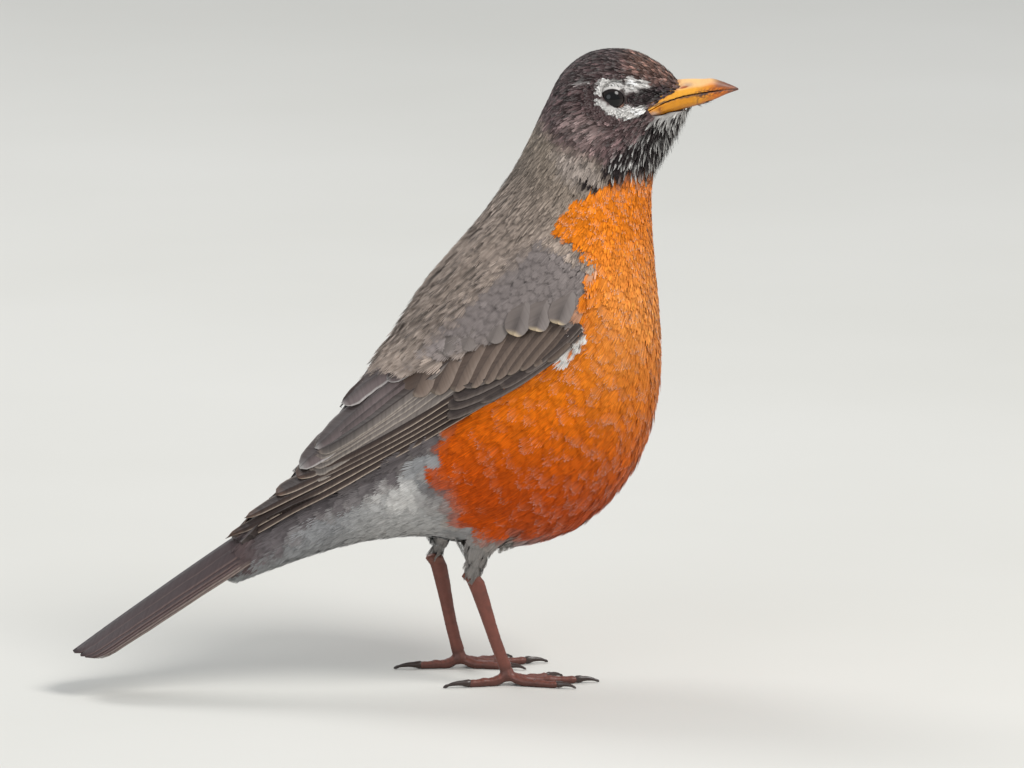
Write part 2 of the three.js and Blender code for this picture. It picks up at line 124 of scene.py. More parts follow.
class Finish:
    """A material whose look is written as expressions."""

    def __init__(self, name, **constants):
        self.material = bpy.data.materials.new(name)
        self.material.use_nodes = True
        self.tree = self.material.node_tree
        self.shader = self.tree.nodes["Principled BSDF"]
        for socket, value in constants.items():
            self.shader.inputs[socket.replace("_", " ")].default_value = value

    def node(self, kind, settings, sockets, output=0):
        made = self.tree.nodes.new(kind)
        for key, value in settings.items():
            setattr(made, key, value)
        for key, value in sockets.items():
            self.feed(made.inputs[key], value)
        return Wire(self, made.outputs[output])

    def feed(self, socket, value):
        if isinstance(value, Wire):
            self.tree.links.new(value.socket, socket)
        elif isinstance(value, np.ndarray):
            socket.default_value = (*value, 1) if len(socket.default_value) == 4 else tuple(value)
        else:
            socket.default_value = value

    def place(self):
        """Object coordinates, in metres."""
        return self.node("ShaderNodeTexCoord", {}, {}, "Object")

    def axis(self, vector, name):
        return self.node("ShaderNodeSeparateXYZ", {}, {0: vector}, name)

    def attribute(self, name, output="Color"):
        return self.node("ShaderNodeAttribute", {"attribute_name": name}, {}, output)

    def noise(self, vector, scale, detail=2.0, distortion=0.0):
        return self.node(
            "ShaderNodeTexNoise",
            {},
            {"Vector": vector, "Scale": scale, "Detail": detail, "Distortion": distortion},
        )

    def mix(self, share, low, high):
        made = self.tree.nodes.new("ShaderNodeMix")
        made.data_type = "RGBA"
        made.clamp_factor = True
        self.feed(made.inputs[0], share)
        self.feed(made.inputs[6], low)
        self.feed(made.inputs[7], high)
        return Wire(self, made.outputs[2])

    def bump(self, height, strength, distance):
        return self.node(
            "ShaderNodeBump", {}, {"Height": height, "Strength": strength, "Distance": distance}, "Normal"
        )

    def give(self, **inputs):
        for socket, value in inputs.items():
            self.feed(self.shader.inputs[socket.replace("_", " ")], value)
        return self.material


def plume_finish(name, roughness, sheen):
    """Soft barbs: the plumage colour with fine mottling of painted shade between barbs."""
    f = Finish(name, Sheen_Weight=sheen, Sheen_Roughness=0.5, Specular_IOR_Level=0.06)
    colour = f.attribute("plumage")
    mottle = f.noise(f.place(), 700.0, 4.0)
    shaded = f.mix(mottle.within(0.35, 0.7) * 0.16, colour, f.mix(0.7, colour, BARB_GAP_SHADE))
    return f.give(Base_Color=shaded, Roughness=roughness + 0.1 * mottle)


def vane_finish(name, roughness):
    """A vane of close barbs: slanting lines on both sides of the shaft."""
    f = Finish(name, Sheen_Weight=0.05, Specular_IOR_Level=0.25)
    colour = f.attribute("plumage")
    vane = f.attribute("vane", "Vector")
    across = f.axis(vane, "X")
    tone = f.axis(vane, "Z")
    aside = across.math("ABSOLUTE", across)
    slant = f.axis(vane, "Y") - aside * 0.9 + f.noise(f.place(), 260.0) * 0.0006
    # Barbs lie 0.3 mm apart, with broader streaks where several part from the next.
    barbs = slant.math("SINE", slant * 20000.0).within(-1.0, 1.0)
    streaks = f.node(
        "ShaderNodeTexNoise",
        {"noise_dimensions": "1D"},
        {"W": slant + tone, "Scale": 900.0, "Detail": 3.0},
    ).within(0.38, 0.68)
    shaft = aside.within(0.00022, 0.00008)
    crisp = f.attribute("plumage", "Alpha")
    lines = barbs * crisp * 0.22 + streaks * (0.14 + 0.2 * crisp)
    # The barb lines and streaks are painted shade between barbs.
    shaded = f.mix(lines, colour, f.mix(0.72, colour, BARB_GAP_SHADE))
    shaded = f.mix(shaft * crisp * 0.7, shaded, SHAFT_BROWN)
    return f.give(
        Base_Color=shaded,
        Roughness=roughness + 0.12 * streaks,
        Normal=f.bump(barbs, 0.3, 0.00006),
    )


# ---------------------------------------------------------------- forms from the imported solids


def merged(nodes):
    """A bmesh that holds copies of CAD nodes with their doubles merged, in metres."""
    bm = bmesh.new()
    for name in nodes:
        bm.from_mesh(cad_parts[name].data)
    bmesh.ops.remove_doubles(bm, verts=bm.verts, dist=1e-6)
    return bm


def mesh_of(bm, name):
    """Writes a bmesh out as a new mesh, and lets it go."""
    mesh = bpy.data.meshes.new(name)
    bm.to_mesh(mesh)
    bm.free()
    return mesh


def placed(name, data):
    """A new object in the scene."""
    made = bpy.data.objects.new(name, data)
    bpy.context.scene.collection.objects.link(made)
    return made


def smoothed(name, nodes, voxel, passes, swell):
    """One closed mesh over CAD nodes, their facets and thin cuts smoothed away. Sizes in mm."""
    piece = placed(name, mesh_of(merged(nodes), name))
    grow = piece.modifiers.new("swell", "DISPLACE")
    grow.strength = swell * MM
    grow.mid_level = 0.0
    remesh = piece.modifiers.new("remesh", "REMESH")
    remesh.mode = "VOXEL"
    remesh.voxel_size = voxel * MM
    relax = piece.modifiers.new("relax", "SMOOTH")
    relax.factor = 0.5
    relax.iterations = passes
    deps = bpy.context.evaluated_depsgraph_get()
    done = bpy.data.meshes.new_from_object(piece.evaluated_get(deps))
    bpy.data.objects.remove(piece)
    done.name = name
    return done


def vertices_of(mesh):
    """A mesh's vertices as an array, in mm."""
    co = np.zeros(len(mesh.vertices) * 3)
    mesh.vertices.foreach_get("co", co)
    return co.reshape(-1, 3) / MM


def normals_of(mesh):
    normal = np.zeros(len(mesh.vertices) * 3)
    mesh.vertices.foreach_get("normal", normal)
    return normal.reshape(-1, 3)


def move_vertices(mesh, points):
    mesh.vertices.foreach_set("co", (points * MM).ravel())
    mesh.update()


def shade_smooth(mesh):
    mesh.polygons.foreach_set("use_smooth", np.ones(len(mesh.polygons), bool))


RAY_REACH = 400.0


class Form:
    """A closed surface that feathers are laid on. It answers with points and smooth normals, in mm."""

    def __init__(self, mesh):
        mesh.calc_loop_triangles()
        self.points = vertices_of(mesh)
        self.normals = normals_of(mesh)
        corners = np.zeros(len(mesh.loop_triangles) * 3, int)
        mesh.loop_triangles.foreach_get("vertices", corners)
        self.triangles = corners.reshape(-1, 3)
        self.face_normals = unit(self.normals[self.triangles].mean(1))
        self.tree = BVHTree.FromPolygons(self.points.tolist(), self.triangles.tolist())

    def nearest(self, places):
        found = [self.tree.find_nearest(Vector(p)) for p in places]
        points = np.array([f[0] for f in found])
        return points, self.face_normals[[f[2] for f in found]]

    def cast(self, starts, direction):
        """Where rays from starts first meet the form, or its nearest point where they miss."""
        way = Vector(direction)
        points = []
        for start in starts:
            point = self.tree.ray_cast(Vector(start), way, RAY_REACH)[0]
            if point is None:
                point = self.tree.find_nearest(Vector(start))[0]
            points.append(point)
        return np.array(points)

    def scatter(self, count):
        """Random points spread evenly over the form."""
        a, b, c = (self.points[self.triangles[:, k]] for k in range(3))
        area = np.linalg.norm(np.cross(b - a, c - a), axis=1)
        chosen = rng.choice(len(area), count, p=area / area.sum())
        s = np.sqrt(rng.random(count))[:, None]
        t = rng.random(count)[:, None]
        point = a[chosen] * (1 - s) + b[chosen] * s * (1 - t) + c[chosen] * s * t
        return point, self.face_normals[chosen]


def unit(vectors):
    """Vectors brought to length 1."""
    return vectors / np.maximum(np.linalg.norm(vectors, axis=-1, keepdims=True), 1e-9)


def smoothstep(value, low, high):
    """0 at low and 1 at high, eased between them. High may be the smaller."""
    share = np.clip((value - low) / (high - low), 0, 1)
    return share * share * (3 - 2 * share)


# ---------------------------------------------------------------- the body's own coordinates

# Ribs from the tail coverts to the root of the bill: the back point and the belly point, x and z.
RIBS = np.array([
    [(-57.9, 35.6), (-50.3, 31.2)],
    [(-24.5, 62.9), (-12.5, 42.0)],
    [(-4.1, 94.4), (28.5, 38.2)],
    [(12.8, 123.6), (68.1, 60.8)],
    [(29.1, 142.9), (74.9, 103.3)],
    [(37.4, 156.2), (72.7, 137.2)],
    [(43.5, 169.3), (77.8, 154.6)],
    [(55.1, 182.5), (82.7, 163.3)],
    [(74.6, 181.2), (83.4, 166.2)],
    [(80.4, 174.9), (82.0, 169.0)],
])
NECK_TURN = (3.75, 6.0)  # ribs over which the head's turn grows
HEAD_TURN = math.radians(-12)
NECK_PIVOT_X = 54.6
NECK_PIVOT = np.array([NECK_PIVOT_X, 0, 0])
BILL_ROOT = np.array([84.0, 0.0, 171.2])
RIB_STEPS = 30  # samples between two ribs


def curve_through(points, at):
    """A Catmull-Rom curve through points, read at places counted in points."""
    points = np.asarray(points, float)
    last = len(points) - 2
    k = np.clip(np.floor(at).astype(int), 0, last)
    t = (np.asarray(at) - k)[:, None]
    p = [points[np.clip(k + step, 0, len(points) - 1)] for step in (-1, 0, 1, 2)]
    p[0] = np.where((k == 0)[:, None], 2 * p[1] - p[2], p[0])
    p[3] = np.where((k == last)[:, None], 2 * p[2] - p[1], p[3])
    rise = (p[2] - p[0]) * t
    bend = (2 * p[0] - 5 * p[1] + 4 * p[2] - p[3]) * t**2
    twist = (3 * p[1] - p[0] - 3 * p[2] + p[3]) * t**3
    return p[1] + (rise + bend + twist) / 2


def turned(points, angle):
    """Points turned about the neck's upright axis."""
    cos, sin = np.cos(angle), np.sin(angle)
    x, y = points[:, 0] - NECK_PIVOT_X, points[:, 1]
    return np.stack([NECK_PIVOT_X + x * cos - y * sin, x * sin + y * cos, points[:, 2]], 1)


def turned_way(ways, angle):
    """Directions turned as the head is."""
    return turned(ways + NECK_PIVOT, angle) - NECK_PIVOT


def head_turn(rib):
    return HEAD_TURN * smoothstep(rib, *NECK_TURN)


class Spine:
    """The body's coordinates: the rib that a point lies on, and its angle round from the back."""

    def __init__(self):
        self.ribs = np.arange(-RIB_STEPS // 3, (len(RIBS) - 1) * RIB_STEPS + RIB_STEPS // 3) / RIB_STEPS
        back = curve_through(RIBS[:, 0], self.ribs)
        belly = curve_through(RIBS[:, 1], self.ribs)
        flat = np.zeros(len(self.ribs))
        middle = (back + belly) / 2
        up = unit(back - belly)
        turn = head_turn(self.ribs)
        self.centres = turned(np.stack([middle[:, 0], flat, middle[:, 1]], 1), turn)
        self.ups = turned_way(np.stack([up[:, 0], flat, up[:, 1]], 1), turn)
        self.sides = turned_way(np.stack([flat, flat + 1, flat], 1), turn)
        self.tailward = np.cross(self.ups, self.sides)

    def read(self, points):
        """For each point: its rib, its angle (0 at the back, plus or minus pi at the belly), its place in
        the unturned bird, and the way to the tail there."""
        ahead = np.einsum("ijk,jk->ij", points[:, None] - self.centres[None], self.tailward)
        far = np.linalg.norm(points[:, None] - self.centres[None], axis=2)
        best = np.argmin(np.abs(ahead) + 0.12 * far, axis=1)
        rib = self.ribs[best]
        out = points - self.centres[best]
        angle = np.arctan2((out * self.sides[best]).sum(1), (out * self.ups[best]).sum(1))
        return rib, angle, turned(points, -head_turn(rib)), self.tailward[best]


spine = Spine()


# ---------------------------------------------------------------- markings, the same for skin and coat


def line_distance(place, starts, ends):
    """How far places lie from the nearest of some straight edges."""
    far = np.full(len(place), 1e9)
    for start, end in zip(starts, ends):
        edge = end - start
        share = np.clip(((place - start) @ edge) / (edge @ edge), 0, 1)
        far = np.minimum(far, np.linalg.norm(place - start - share[:, None] * edge, axis=1))
    return far


def within_outline(x, z, outline, soft):
    """1 inside a closed outline and 0 outside, with a border soft millimetres wide."""
    corners = np.asarray(outline, float)
    ends = np.roll(corners, -1, 0)
    far = line_distance(np.stack([x, z], 1), corners, ends)
    inside = np.zeros(len(x), bool)
    for (ax, az), (bx, bz) in zip(corners, ends):
        if az != bz:
            crosses = (az > z) != (bz > z)
            inside ^= crosses & (x < (bx - ax) * (z - az) / (bz - az) + ax)
    return smoothstep(np.where(inside, far, -far), -soft / 2, soft / 2)


def along_line(x, z, line, width, soft):
    """1 within half a width of an open line and 0 away from it."""
    corners = np.asarray(line, float)
    far = line_distance(np.stack([x, z], 1), corners[:-1], corners[1:])
    return 1 - smoothstep(far, width / 2 - soft / 2, width / 2 + soft / 2)


def hump(value, middle, width):
    """1 at the middle, falling away over the width on both sides."""
    return np.exp(-(((value - middle) / width) ** 2))


def spot(x, z, place, size):
    """1 at a place, falling away over a size along x and z."""
    return np.exp(-(((x - place[0]) / size[0]) ** 2 + ((z - place[1]) / size[1]) ** 2))


# Outlines and lines seen from the right side of the unturned bird, x and z.
BREAST_REAR = [(6.5, 71.6), (3.1, 64.4), (7.3, 62.0), (7.7, 57.0), (10.0, 52.1), (12.2, 48.6)]
SMOKE_EDGE = [(-0.6, 70.5), (-4.1, 64.6), (-8.7, 59.4), (-15.9, 56.3), (-22, 53.3), (-29.7, 50.4),
              (-34.5, 45.5), (-37.9, 41.4), (-48, 36.5)]
BREAST = [(96, 146), (76, 146), (72.3, 147.2), (66.4, 148.9), (61.2, 146.9), (55.9, 145.4), (49.4, 143.4),
          (45.9, 141.8), (41.9, 137.6), (39.9, 135.4), (43.2, 132.6), (46.8, 129.6), (50.4, 126.8),
          (48.5, 121.2), (45.1, 116.8), (43.5, 113.5), (44.2, 107.3), (36, 98), (8.8, 79.5), (7.1, 75.1),
          (3.5, 73.0), *BREAST_REAR, (16.5, 45.5), (26, 40), (30, 20), (60, 20), (100, 60)]
HOOD_OUTLINE = [(36, 195), (37, 170), (40.4, 162.8), (42.6, 160.3), (45.8, 157.4), (51.5, 155.7),
                (56.8, 153.6), (58.8, 150.2), (60.8, 146.7), (66.0, 147.3), (72.3, 147.2), (78, 144),
                (96, 150), (96, 195)]
CHEEK_OUTLINE = [(45.1, 162.2), (48.2, 166.8), (55.1, 165.5), (59.1, 162.6), (57.8, 157.8), (51.8, 157.6)]
NECK_PATCH = [(44, 156), (50, 156), (56, 153), (57.5, 148.5), (55, 146), (50, 146.5), (44, 150)]
# A painted shadow in a gap among the neck's feathers.
NECK_GAP_SHADOW = [(51.2, 147.8), (55.0, 146.3)]
# A painted shadow along the shoulder's lower edge.
SHOULDER_EDGE_SHADOW = [(40.5, 134.2), (44.5, 130.8), (49.6, 126.0)]
FOREHEAD_OUTLINE = [(66, 190), (66.5, 178), (71, 176), (77, 174), (90, 174), (88, 190)]
THROAT = [(74.5, 165), (77, 165), (84, 167), (90, 166), (83.5, 160), (78, 150), (76, 146), (74, 149.5),
          (66.7, 150.8), (60.8, 149.5), (58.8, 152.5), (65.6, 156.2), (71.5, 160)]
LORES = [(65.5, 170.9), (67.8, 172.1), (70.1, 173.0), (73.0, 173.5), (75.3, 173.3), (80, 173.4),
         (78.5, 171.4), (73.0, 168.5), (71.0, 167.8), (68.7, 168.5), (66.6, 169.6)]
FLANK = [(8.8, 79.5), (7.4, 75.1), (5.4, 71.6), *SMOKE_EDGE, (-66, 38), (-50, 58), (-24, 74), (-8, 84)]
WHITE_PATCH = [(-10.5, 60), (-2.2, 64.6), (1.1, 61.8), (1.6, 55.8), (-3.4, 53.7), (-9.9, 57.2)]
FLANK_PATCH = [(4.5, 63.8), (9.0, 62.7), (12.5, 51.0), (6.7, 51.7), (1.7, 55.3), (1.9, 60.1)]
VENT = [(5.4, 71.6), *SMOKE_EDGE, (-66, 28), (-64, 15), (20, 15), (18, 45), *BREAST_REAR[::-1]]
UNDERWING = [(37.2, 98.0), (38.6, 96.2), (41.4, 97.6), (44.9, 102.2), (47.6, 106.8), (47.8, 108.8),
             (46.0, 108.0), (42.6, 103.6)]
UPPER_ARC = [(56.4, 173.2), (56.8, 174.9), (57.8, 175.9), (59.4, 176.5), (61.9, 176.5), (63.8, 175.8),
             (65.0, 174.4), (63.8, 172.8), (61.6, 172.4), (59.4, 172.4), (57.8, 171.8)]
LOWER_ARC = [(56.1, 170.6), (56.5, 169.2), (58.0, 168.2), (60.0, 167.0), (62.3, 166.0), (64.3, 165.0),
             (66.6, 164.5), (69.0, 165.0), (70.4, 166.2), (71.1, 167.7), (69.5, 168.3), (67.8, 168.5),
             (65.8, 168.8), (64.0, 169.0), (61.7, 169.2), (59.7, 169.8), (58.3, 170.6), (57.1, 171.0)]
BROW = [(65.1, 173.6), (65.3, 175.5), (66.4, 176.6), (68.4, 176.6), (71.0, 175.4), (72.4, 174.2),
        (72.3, 173.5), (70.4, 173.4), (68.7, 172.4), (67.5, 172.3), (66.2, 172.1), (65.5, 172.7)]
EYE_STREAK = [(51.1, 174.9), (52.8, 175.5), (54.6, 175.4)]
# Where the bill is bare of feathers.
BILL_BARE = [(81.0, 175.4), (82.0, 173.3), (79.8, 171.4), (76.1, 169.3), (71.6, 167.0), (72.4, 166.0),
             (74.5, 164.1), (77.7, 164.6), (83.5, 166.2), (87.0, 167.7), (102, 169), (102, 180), (84, 179)]


def blended(colour, share, other):
    """A colour with a share of another laid over it."""
    return colour + (other - colour) * np.clip(share, 0, 1)[:, None]


def layered(colour, *layers):
    """A colour with others blended over it in turn, each given as its share and itself."""
    for share, other in layers:
        colour = blended(colour, share, other)
    return colour


def markings(points):
    """The bird's colours at points on its surface."""
    rib, angle, rest, _ = spine.read(points)
    x, y, z = rest.T
    under = np.abs(angle) / math.pi
    wander = np.sin(x * 0.83 + 3 * under) * np.cos(z * 0.71) + 0.6 * np.sin(x * 2.1 - z * 1.7)
    ripple = 0.8 * wander
    edge = ripple * (0.5 + 0.6 * smoothstep(z, 138, 144))

    def rippled(outline, soft):
        return within_outline(x + ripple, z + ripple, outline, soft)

    colour = layered(
        np.tile(MANTLE, (len(x), 1)),
        (smoothstep(x, -14, -44), RUMP),
        (nape_share(rib), NAPE),
        (within_outline(x + edge, z + edge, BREAST, 0.4), breast_colour(x, z)),
        # A painted shadow along the shoulder's lower edge.
        (0.6 * along_line(x, z, SHOULDER_EDGE_SHADOW, 0.7, 0.5), BLACK),
        (rippled(FLANK, 2.5), SMOKE),
        # The vent and the belly's middle: pale feathers painted grey, partly their own tone, partly painted
        # shade.
        (rippled(VENT, 2.5), VENT_GREY_AND_SHADE),
        (0.8 * rippled(FLANK_PATCH, 3.0), SMOKE),
        (0.4 * smoothstep(x, -24, -8) * smoothstep(x, 16, 6) * smoothstep(z, 62, 54), WHITE),
        (belly_fluff(x, z, under), VENT_GREY_AND_SHADE * 1.25),
        (on_thigh(x, y, z), THIGH_GREY),
        (within_outline(x, z, UNDERWING, 0.3) * (z < 108), WHITE),
        (0.75 * rippled(WHITE_PATCH, 3.5), WHITE),
        (smoothstep(x, -42, -47) * (under < 0.5), TAIL_ROOT),
    )
    return blended_head(colour, x + 0.3 * wander, z + 0.3 * wander, angle, rib)


def breast_colour(x, z):
    """Orange, deeper below, paler over the middle of the breast, and brighter along the flank with painted
    light.
    """
    deep = 1 - smoothstep(z + 0.3 * (x - 50), 48, 104)
    orange = layered(
        ORANGE + (DEEP_ORANGE - ORANGE) * deep[:, None],
        (0.65 * hump(z, 110, 20) * smoothstep(x, 42, 60), PALE_ORANGE),
        (0.7 * smoothstep(z, 126, 140), ORANGE * 0.92),
    )
    # Painted light brightens the flank, where less light falls.
    return orange * (1.04 + 0.16 * hump(z, 88, 17) * smoothstep(x, 52, 34))[:, None]


def head_share(rib):
    """0 on the neck, 1 on the head."""
    return smoothstep(rib, 5.0, 6.4)


def nape_share(rib):
    """0 on the back, 1 from the nape on."""
    return smoothstep(rib, 3.4, 5.2)


def coat_depth(rib):
    """How far the coat stands off the skin on the body and the neck."""
    return 1.3 - 0.5 * smoothstep(rib, 3.6, 5.4)


def belly_fluff(x, z, under):
    """The pale feathers along the belly's middle."""
    middle = smoothstep(under, 0.84, 0.92) * smoothstep(x, 46, 30)
    ahead = smoothstep(under, 0.92, 0.96) * smoothstep(x, 62, 54)
    return np.maximum(middle, ahead) * smoothstep(z, 70, 62)


def on_thigh(x, y, z):
    return smoothstep(z, 47, 43) * smoothstep(x, 10, 14) * smoothstep(x, 34, 30) * (np.abs(y) > 6)


def blended_head(colour, x, z, angle, rib):
    """Adds the head's markings."""

    def inside(outline, soft):
        return within_outline(x, z, outline, soft)

    # Black chin and throat feathers between pale ones, in rows that run back from the bill.
    throat = inside(THROAT, 2.0)
    rows = np.sin(angle * 32 + 1.6 * np.sin(rib * 5.0 + 2 * angle))
    chin = hump(z, 166, 5.0)
    pale = smoothstep(rows + 1.6 * chin, 0.0, 0.5)
    arcs = np.maximum(inside(UPPER_ARC, 0.5), inside(LOWER_ARC, 0.5))
    arcs = np.maximum(arcs, 0.85 * inside(BROW, 0.8))
    return layered(
        colour,
        (0.8 * inside(NECK_PATCH, 5), NECK_PALE),
        (inside(HOOD_OUTLINE, 6) * (rib > 4.4), (1 + 0.75 * smoothstep(z, 175.5, 167))[:, None] * HOOD),
        (0.8 * inside(CHEEK_OUTLINE, 6), CHEEK),
        (0.9 * inside(FOREHEAD_OUTLINE, 8), FOREHEAD),
        (throat, BLACK),
        (throat * pale * (0.5 + 0.4 * chin), WHITE),
        (inside(LORES, 1.2), BLACK * 1.4),
        (arcs * (rib > 5.5), WHITE),
        # A painted shadow in a gap among the neck's feathers.
        (along_line(x, z, NECK_GAP_SHADOW, 2.1, 1.2), BLACK),
        (0.32 * along_line(x, z, EYE_STREAK, 1.0, 1.0), WHITE),
    )


# ---------------------------------------------------------------- writing meshes


def write_mesh(name, points, quads, triangles, colours, uv, normals=None):
    """A mesh from arrays: points in mm, with a plumage colour, a bake map and shading normals."""
    mesh = bpy.data.meshes.new(name)
    loops = np.concatenate([quads.ravel(), triangles.ravel()]).astype(np.int32)
    starts = np.concatenate([np.arange(len(quads)) * 4, len(quads) * 4 + np.arange(len(triangles)) * 3])
    mesh.vertices.add(len(points))
    mesh.vertices.foreach_set("co", (points * MM).ravel())
    mesh.loops.add(len(loops))
    mesh.loops.foreach_set("vertex_index", loops)
    mesh.polygons.add(len(starts))
    mesh.polygons.foreach_set("loop_start", starts.astype(np.int32))
    mesh.update(calc_edges=True)
    tint_mesh(mesh, colours)
    layer = mesh.uv_layers.new(name="OFBake")
    layer.data.foreach_set("uv", uv[loops].ravel())
    shade_smooth(mesh)
    if normals is not None:
        mesh.normals_split_custom_set_from_vertices(unit(normals).tolist())
    return mesh


def tint_mesh(mesh, colours):
    """Sets the plumage colour, and with a fourth column how crisp a feather's barbs are."""
    if colours.shape[1] == 3:
        colours = np.concatenate([colours, np.ones((len(colours), 1))], 1)
    layer = mesh.attributes.new("plumage", "FLOAT_COLOR", "POINT")
    layer.data.foreach_set("color", colours.ravel())


def show(name, mesh, finish):
    """A visible piece of the bird's one body."""
    piece = placed(name, mesh)
    mesh.materials.clear()
    mesh.materials.append(finish)
    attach(piece, "root")
    return piece


# ---------------------------------------------------------------- small body feathers

FEATHER_ROOTS = 260000  # places tried, of which most are then thinned out
BARB_AT = np.array([0.0, 0.5, 0.93, 1.0])  # along a barb
BARB_CORNERS = [0, 0, 1, 1, 2, 2, 3]  # the station of each corner of a barb: two edges, then its tip
BARB_WIDTH = np.array([0.95, 1.1, 0.85])  # at all but its tip, which is a point
# Painted shade: a barb darkens towards its root, where the next feathers cover it.
BARB_ROOT_SHADE = np.array([1.0, 0.3, 0.0])  # how much of its feather's shade lies on it there
BARB_CORE = np.array([0.3, 1.0, 0.9])  # how much of the dark along the shaft
BARB_JITTER = 0.4  # of the room between barbs
BARB_OVERLAP = 1.15
FAN_ROUNDING = 0.26  # how much shorter the fan's outer barbs are
FEATHER_CAMBER = 0.06
NORMAL_SOFTNESS = 0.92  # how far a barb is lit as the body's own surface is
MAP_PATCH = 0.0028  # a feather's patch on the bake map


class Coat:
    """Feather roots with all that is needed to grow them, filtered and joined as arrays."""

    def __init__(self, **columns):
        self.columns = columns

    def __getattr__(self, key):
        return self.columns[key]

    def pick(self, mask):
        return Coat(**{key: value[mask] for key, value in self.columns.items()})


def crowded(grid, key, point, limit):
    """Whether a kept point lies nearer than a distance, whose square is given."""
    px, py, pz = point
    for i in (key[0] - 1, key[0], key[0] + 1):
        for j in (key[1] - 1, key[1], key[1] + 1):
            for k in (key[2] - 1, key[2], key[2] + 1):
                for qx, qy, qz in grid.get((i, j, k), ()):
                    if (px - qx) ** 2 + (py - qy) ** 2 + (pz - qz) ** 2 < limit:
                        return True
    return False


def thinned(points, spacing):
    """Keeps points, in their given order, that lie no nearer to a kept one than their spacing."""
    grid = {}
    kept = []
    keys = np.floor(points / spacing.max()).astype(int)
    for index, (key, point, room) in enumerate(zip(keys.tolist(), points.tolist(), spacing.tolist())):
        if not crowded(grid, key, point, room * room):
            kept.append(index)
            grid.setdefault(tuple(key), []).append(point)
    return np.array(kept)


def grow_feathers(name, form, coat, barbs, finish):
    """A piece of body feathers: each is a fan of thin barbs that leaves its root inside the coat, follows
    the form under it and ends just outside."""
    count = len(coat.root)
    fan = (count, barbs)
    way = coat.lie * coat.length[:, None]
    middle, _ = form.nearest(coat.root + way * 0.5)
    end, end_normal = form.nearest(coat.root + way)
    loose = coat.loose[:, None]
    middle += (coat.root + way * 0.5 - middle) * loose
    end += (coat.root + way - coat.normal * 0.2 * coat.length[:, None] - end) * loose
    end_normal = unit(end_normal + (coat.normal - end_normal) * loose)
    # Each barb's line, from the shaft's curve out to its place in the fan.
    spread = np.linspace(-1, 1, barbs)[None] + rng.normal(0, BARB_JITTER / barbs, fan)
    reach = (1 - FAN_ROUNDING * spread**2) * rng.normal(1, coat.ragged[:, None], fan)
    start = 0.12 * rng.random(fan)
    along = start[..., None] + (reach - start)[..., None] * BARB_AT  # count, barbs, 4
    sideways = spread[..., None] * (0.22 + 0.78 * BARB_AT**0.8) * coat.half[:, None, None]
    a = along[..., None]
    p0, p1, p2 = (p[:, None, None] for p in (coat.root, middle, end))
    line = p0 * (1 - a) * (1 - 2 * a) + p1 * 4 * a * (1 - a) + p2 * a * (2 * a - 1)
    way = unit(p0 * (4 * a - 3) + p1 * (4 - 8 * a) + p2 * (4 * a - 1))
    normal = unit(coat.normal[:, None, None] * (1 - a) + end_normal[:, None, None] * a)
    across = unit(np.cross(normal, way))
    ruffle = rng.normal(0, coat.ragged[:, None], fan)[..., None]
    lift = coat.lift[:, None, None] * along**2 + ruffle * along
    camber = -FEATHER_CAMBER * coat.half[:, None, None] * spread[..., None] ** 2
    sunk = -coat.depth[:, None, None] * np.maximum(1 - along, 0) ** 1.4
    height = sunk + lift * coat.length[:, None, None] * 0.1 + camber
    centre = line + across * sideways[..., None] + normal * height[..., None]
    # Its two edges and its tip.
    tilt = np.clip(rng.normal(0, 2.5 * coat.ragged[:, None], fan), -0.8, 0.8)[..., None, None]
    edge = across * np.cos(tilt) + normal * np.sin(tilt)
    half = coat.half[:, None] / barbs * BARB_OVERLAP * rng.normal(1, 0.12, fan)
    half = half[..., None, None] * BARB_WIDTH[:, None]
    points = np.empty((*fan, 7, 3))
    points[:, :, 0:6:2] = centre[:, :, :3] - edge[:, :, :3] * half
    points[:, :, 1:6:2] = centre[:, :, :3] + edge[:, :, :3] * half
    points[:, :, 6] = centre[:, :, 3]
    colours = barb_colours(coat, fan, spread)
    body_normal = normal[:, :, BARB_CORNERS]
    barb_normal = unit(np.cross(way, edge))[:, :, BARB_CORNERS]
    barb_normal = barb_normal * np.sign((barb_normal * body_normal).sum(-1, keepdims=True))
    normals = body_normal * NORMAL_SOFTNESS + barb_normal * (1 - NORMAL_SOFTNESS)
    u = coat.map[:, None, 0, None] + MAP_PATCH / 2 * (spread[..., None] + np.zeros(7))
    u[:, :, 0:6:2] -= MAP_PATCH / barbs / 2
    u[:, :, 1:6:2] += MAP_PATCH / barbs / 2
    v = MAP_PATCH * (BARB_AT[BARB_CORNERS] - 0.5) + np.zeros((*fan, 1))
    v = coat.map[:, None, 1, None] + v
    first = np.arange(count * barbs)[:, None, None] * 7
    quads = (first + np.array([[0, 2, 3, 1], [2, 4, 5, 3]])).reshape(-1, 4)
    tips = (first + np.array([[4, 6, 5]])).reshape(-1, 3)
    mesh = write_mesh(
        name,
        points.reshape(-1, 3),
        quads,
        tips,
        np.clip(colours.reshape(-1, 3), *COLOUR_RANGE),
        np.stack([u, v], -1).reshape(-1, 2),
        normals.reshape(-1, 3),
    )
    return show(name, mesh, finish)


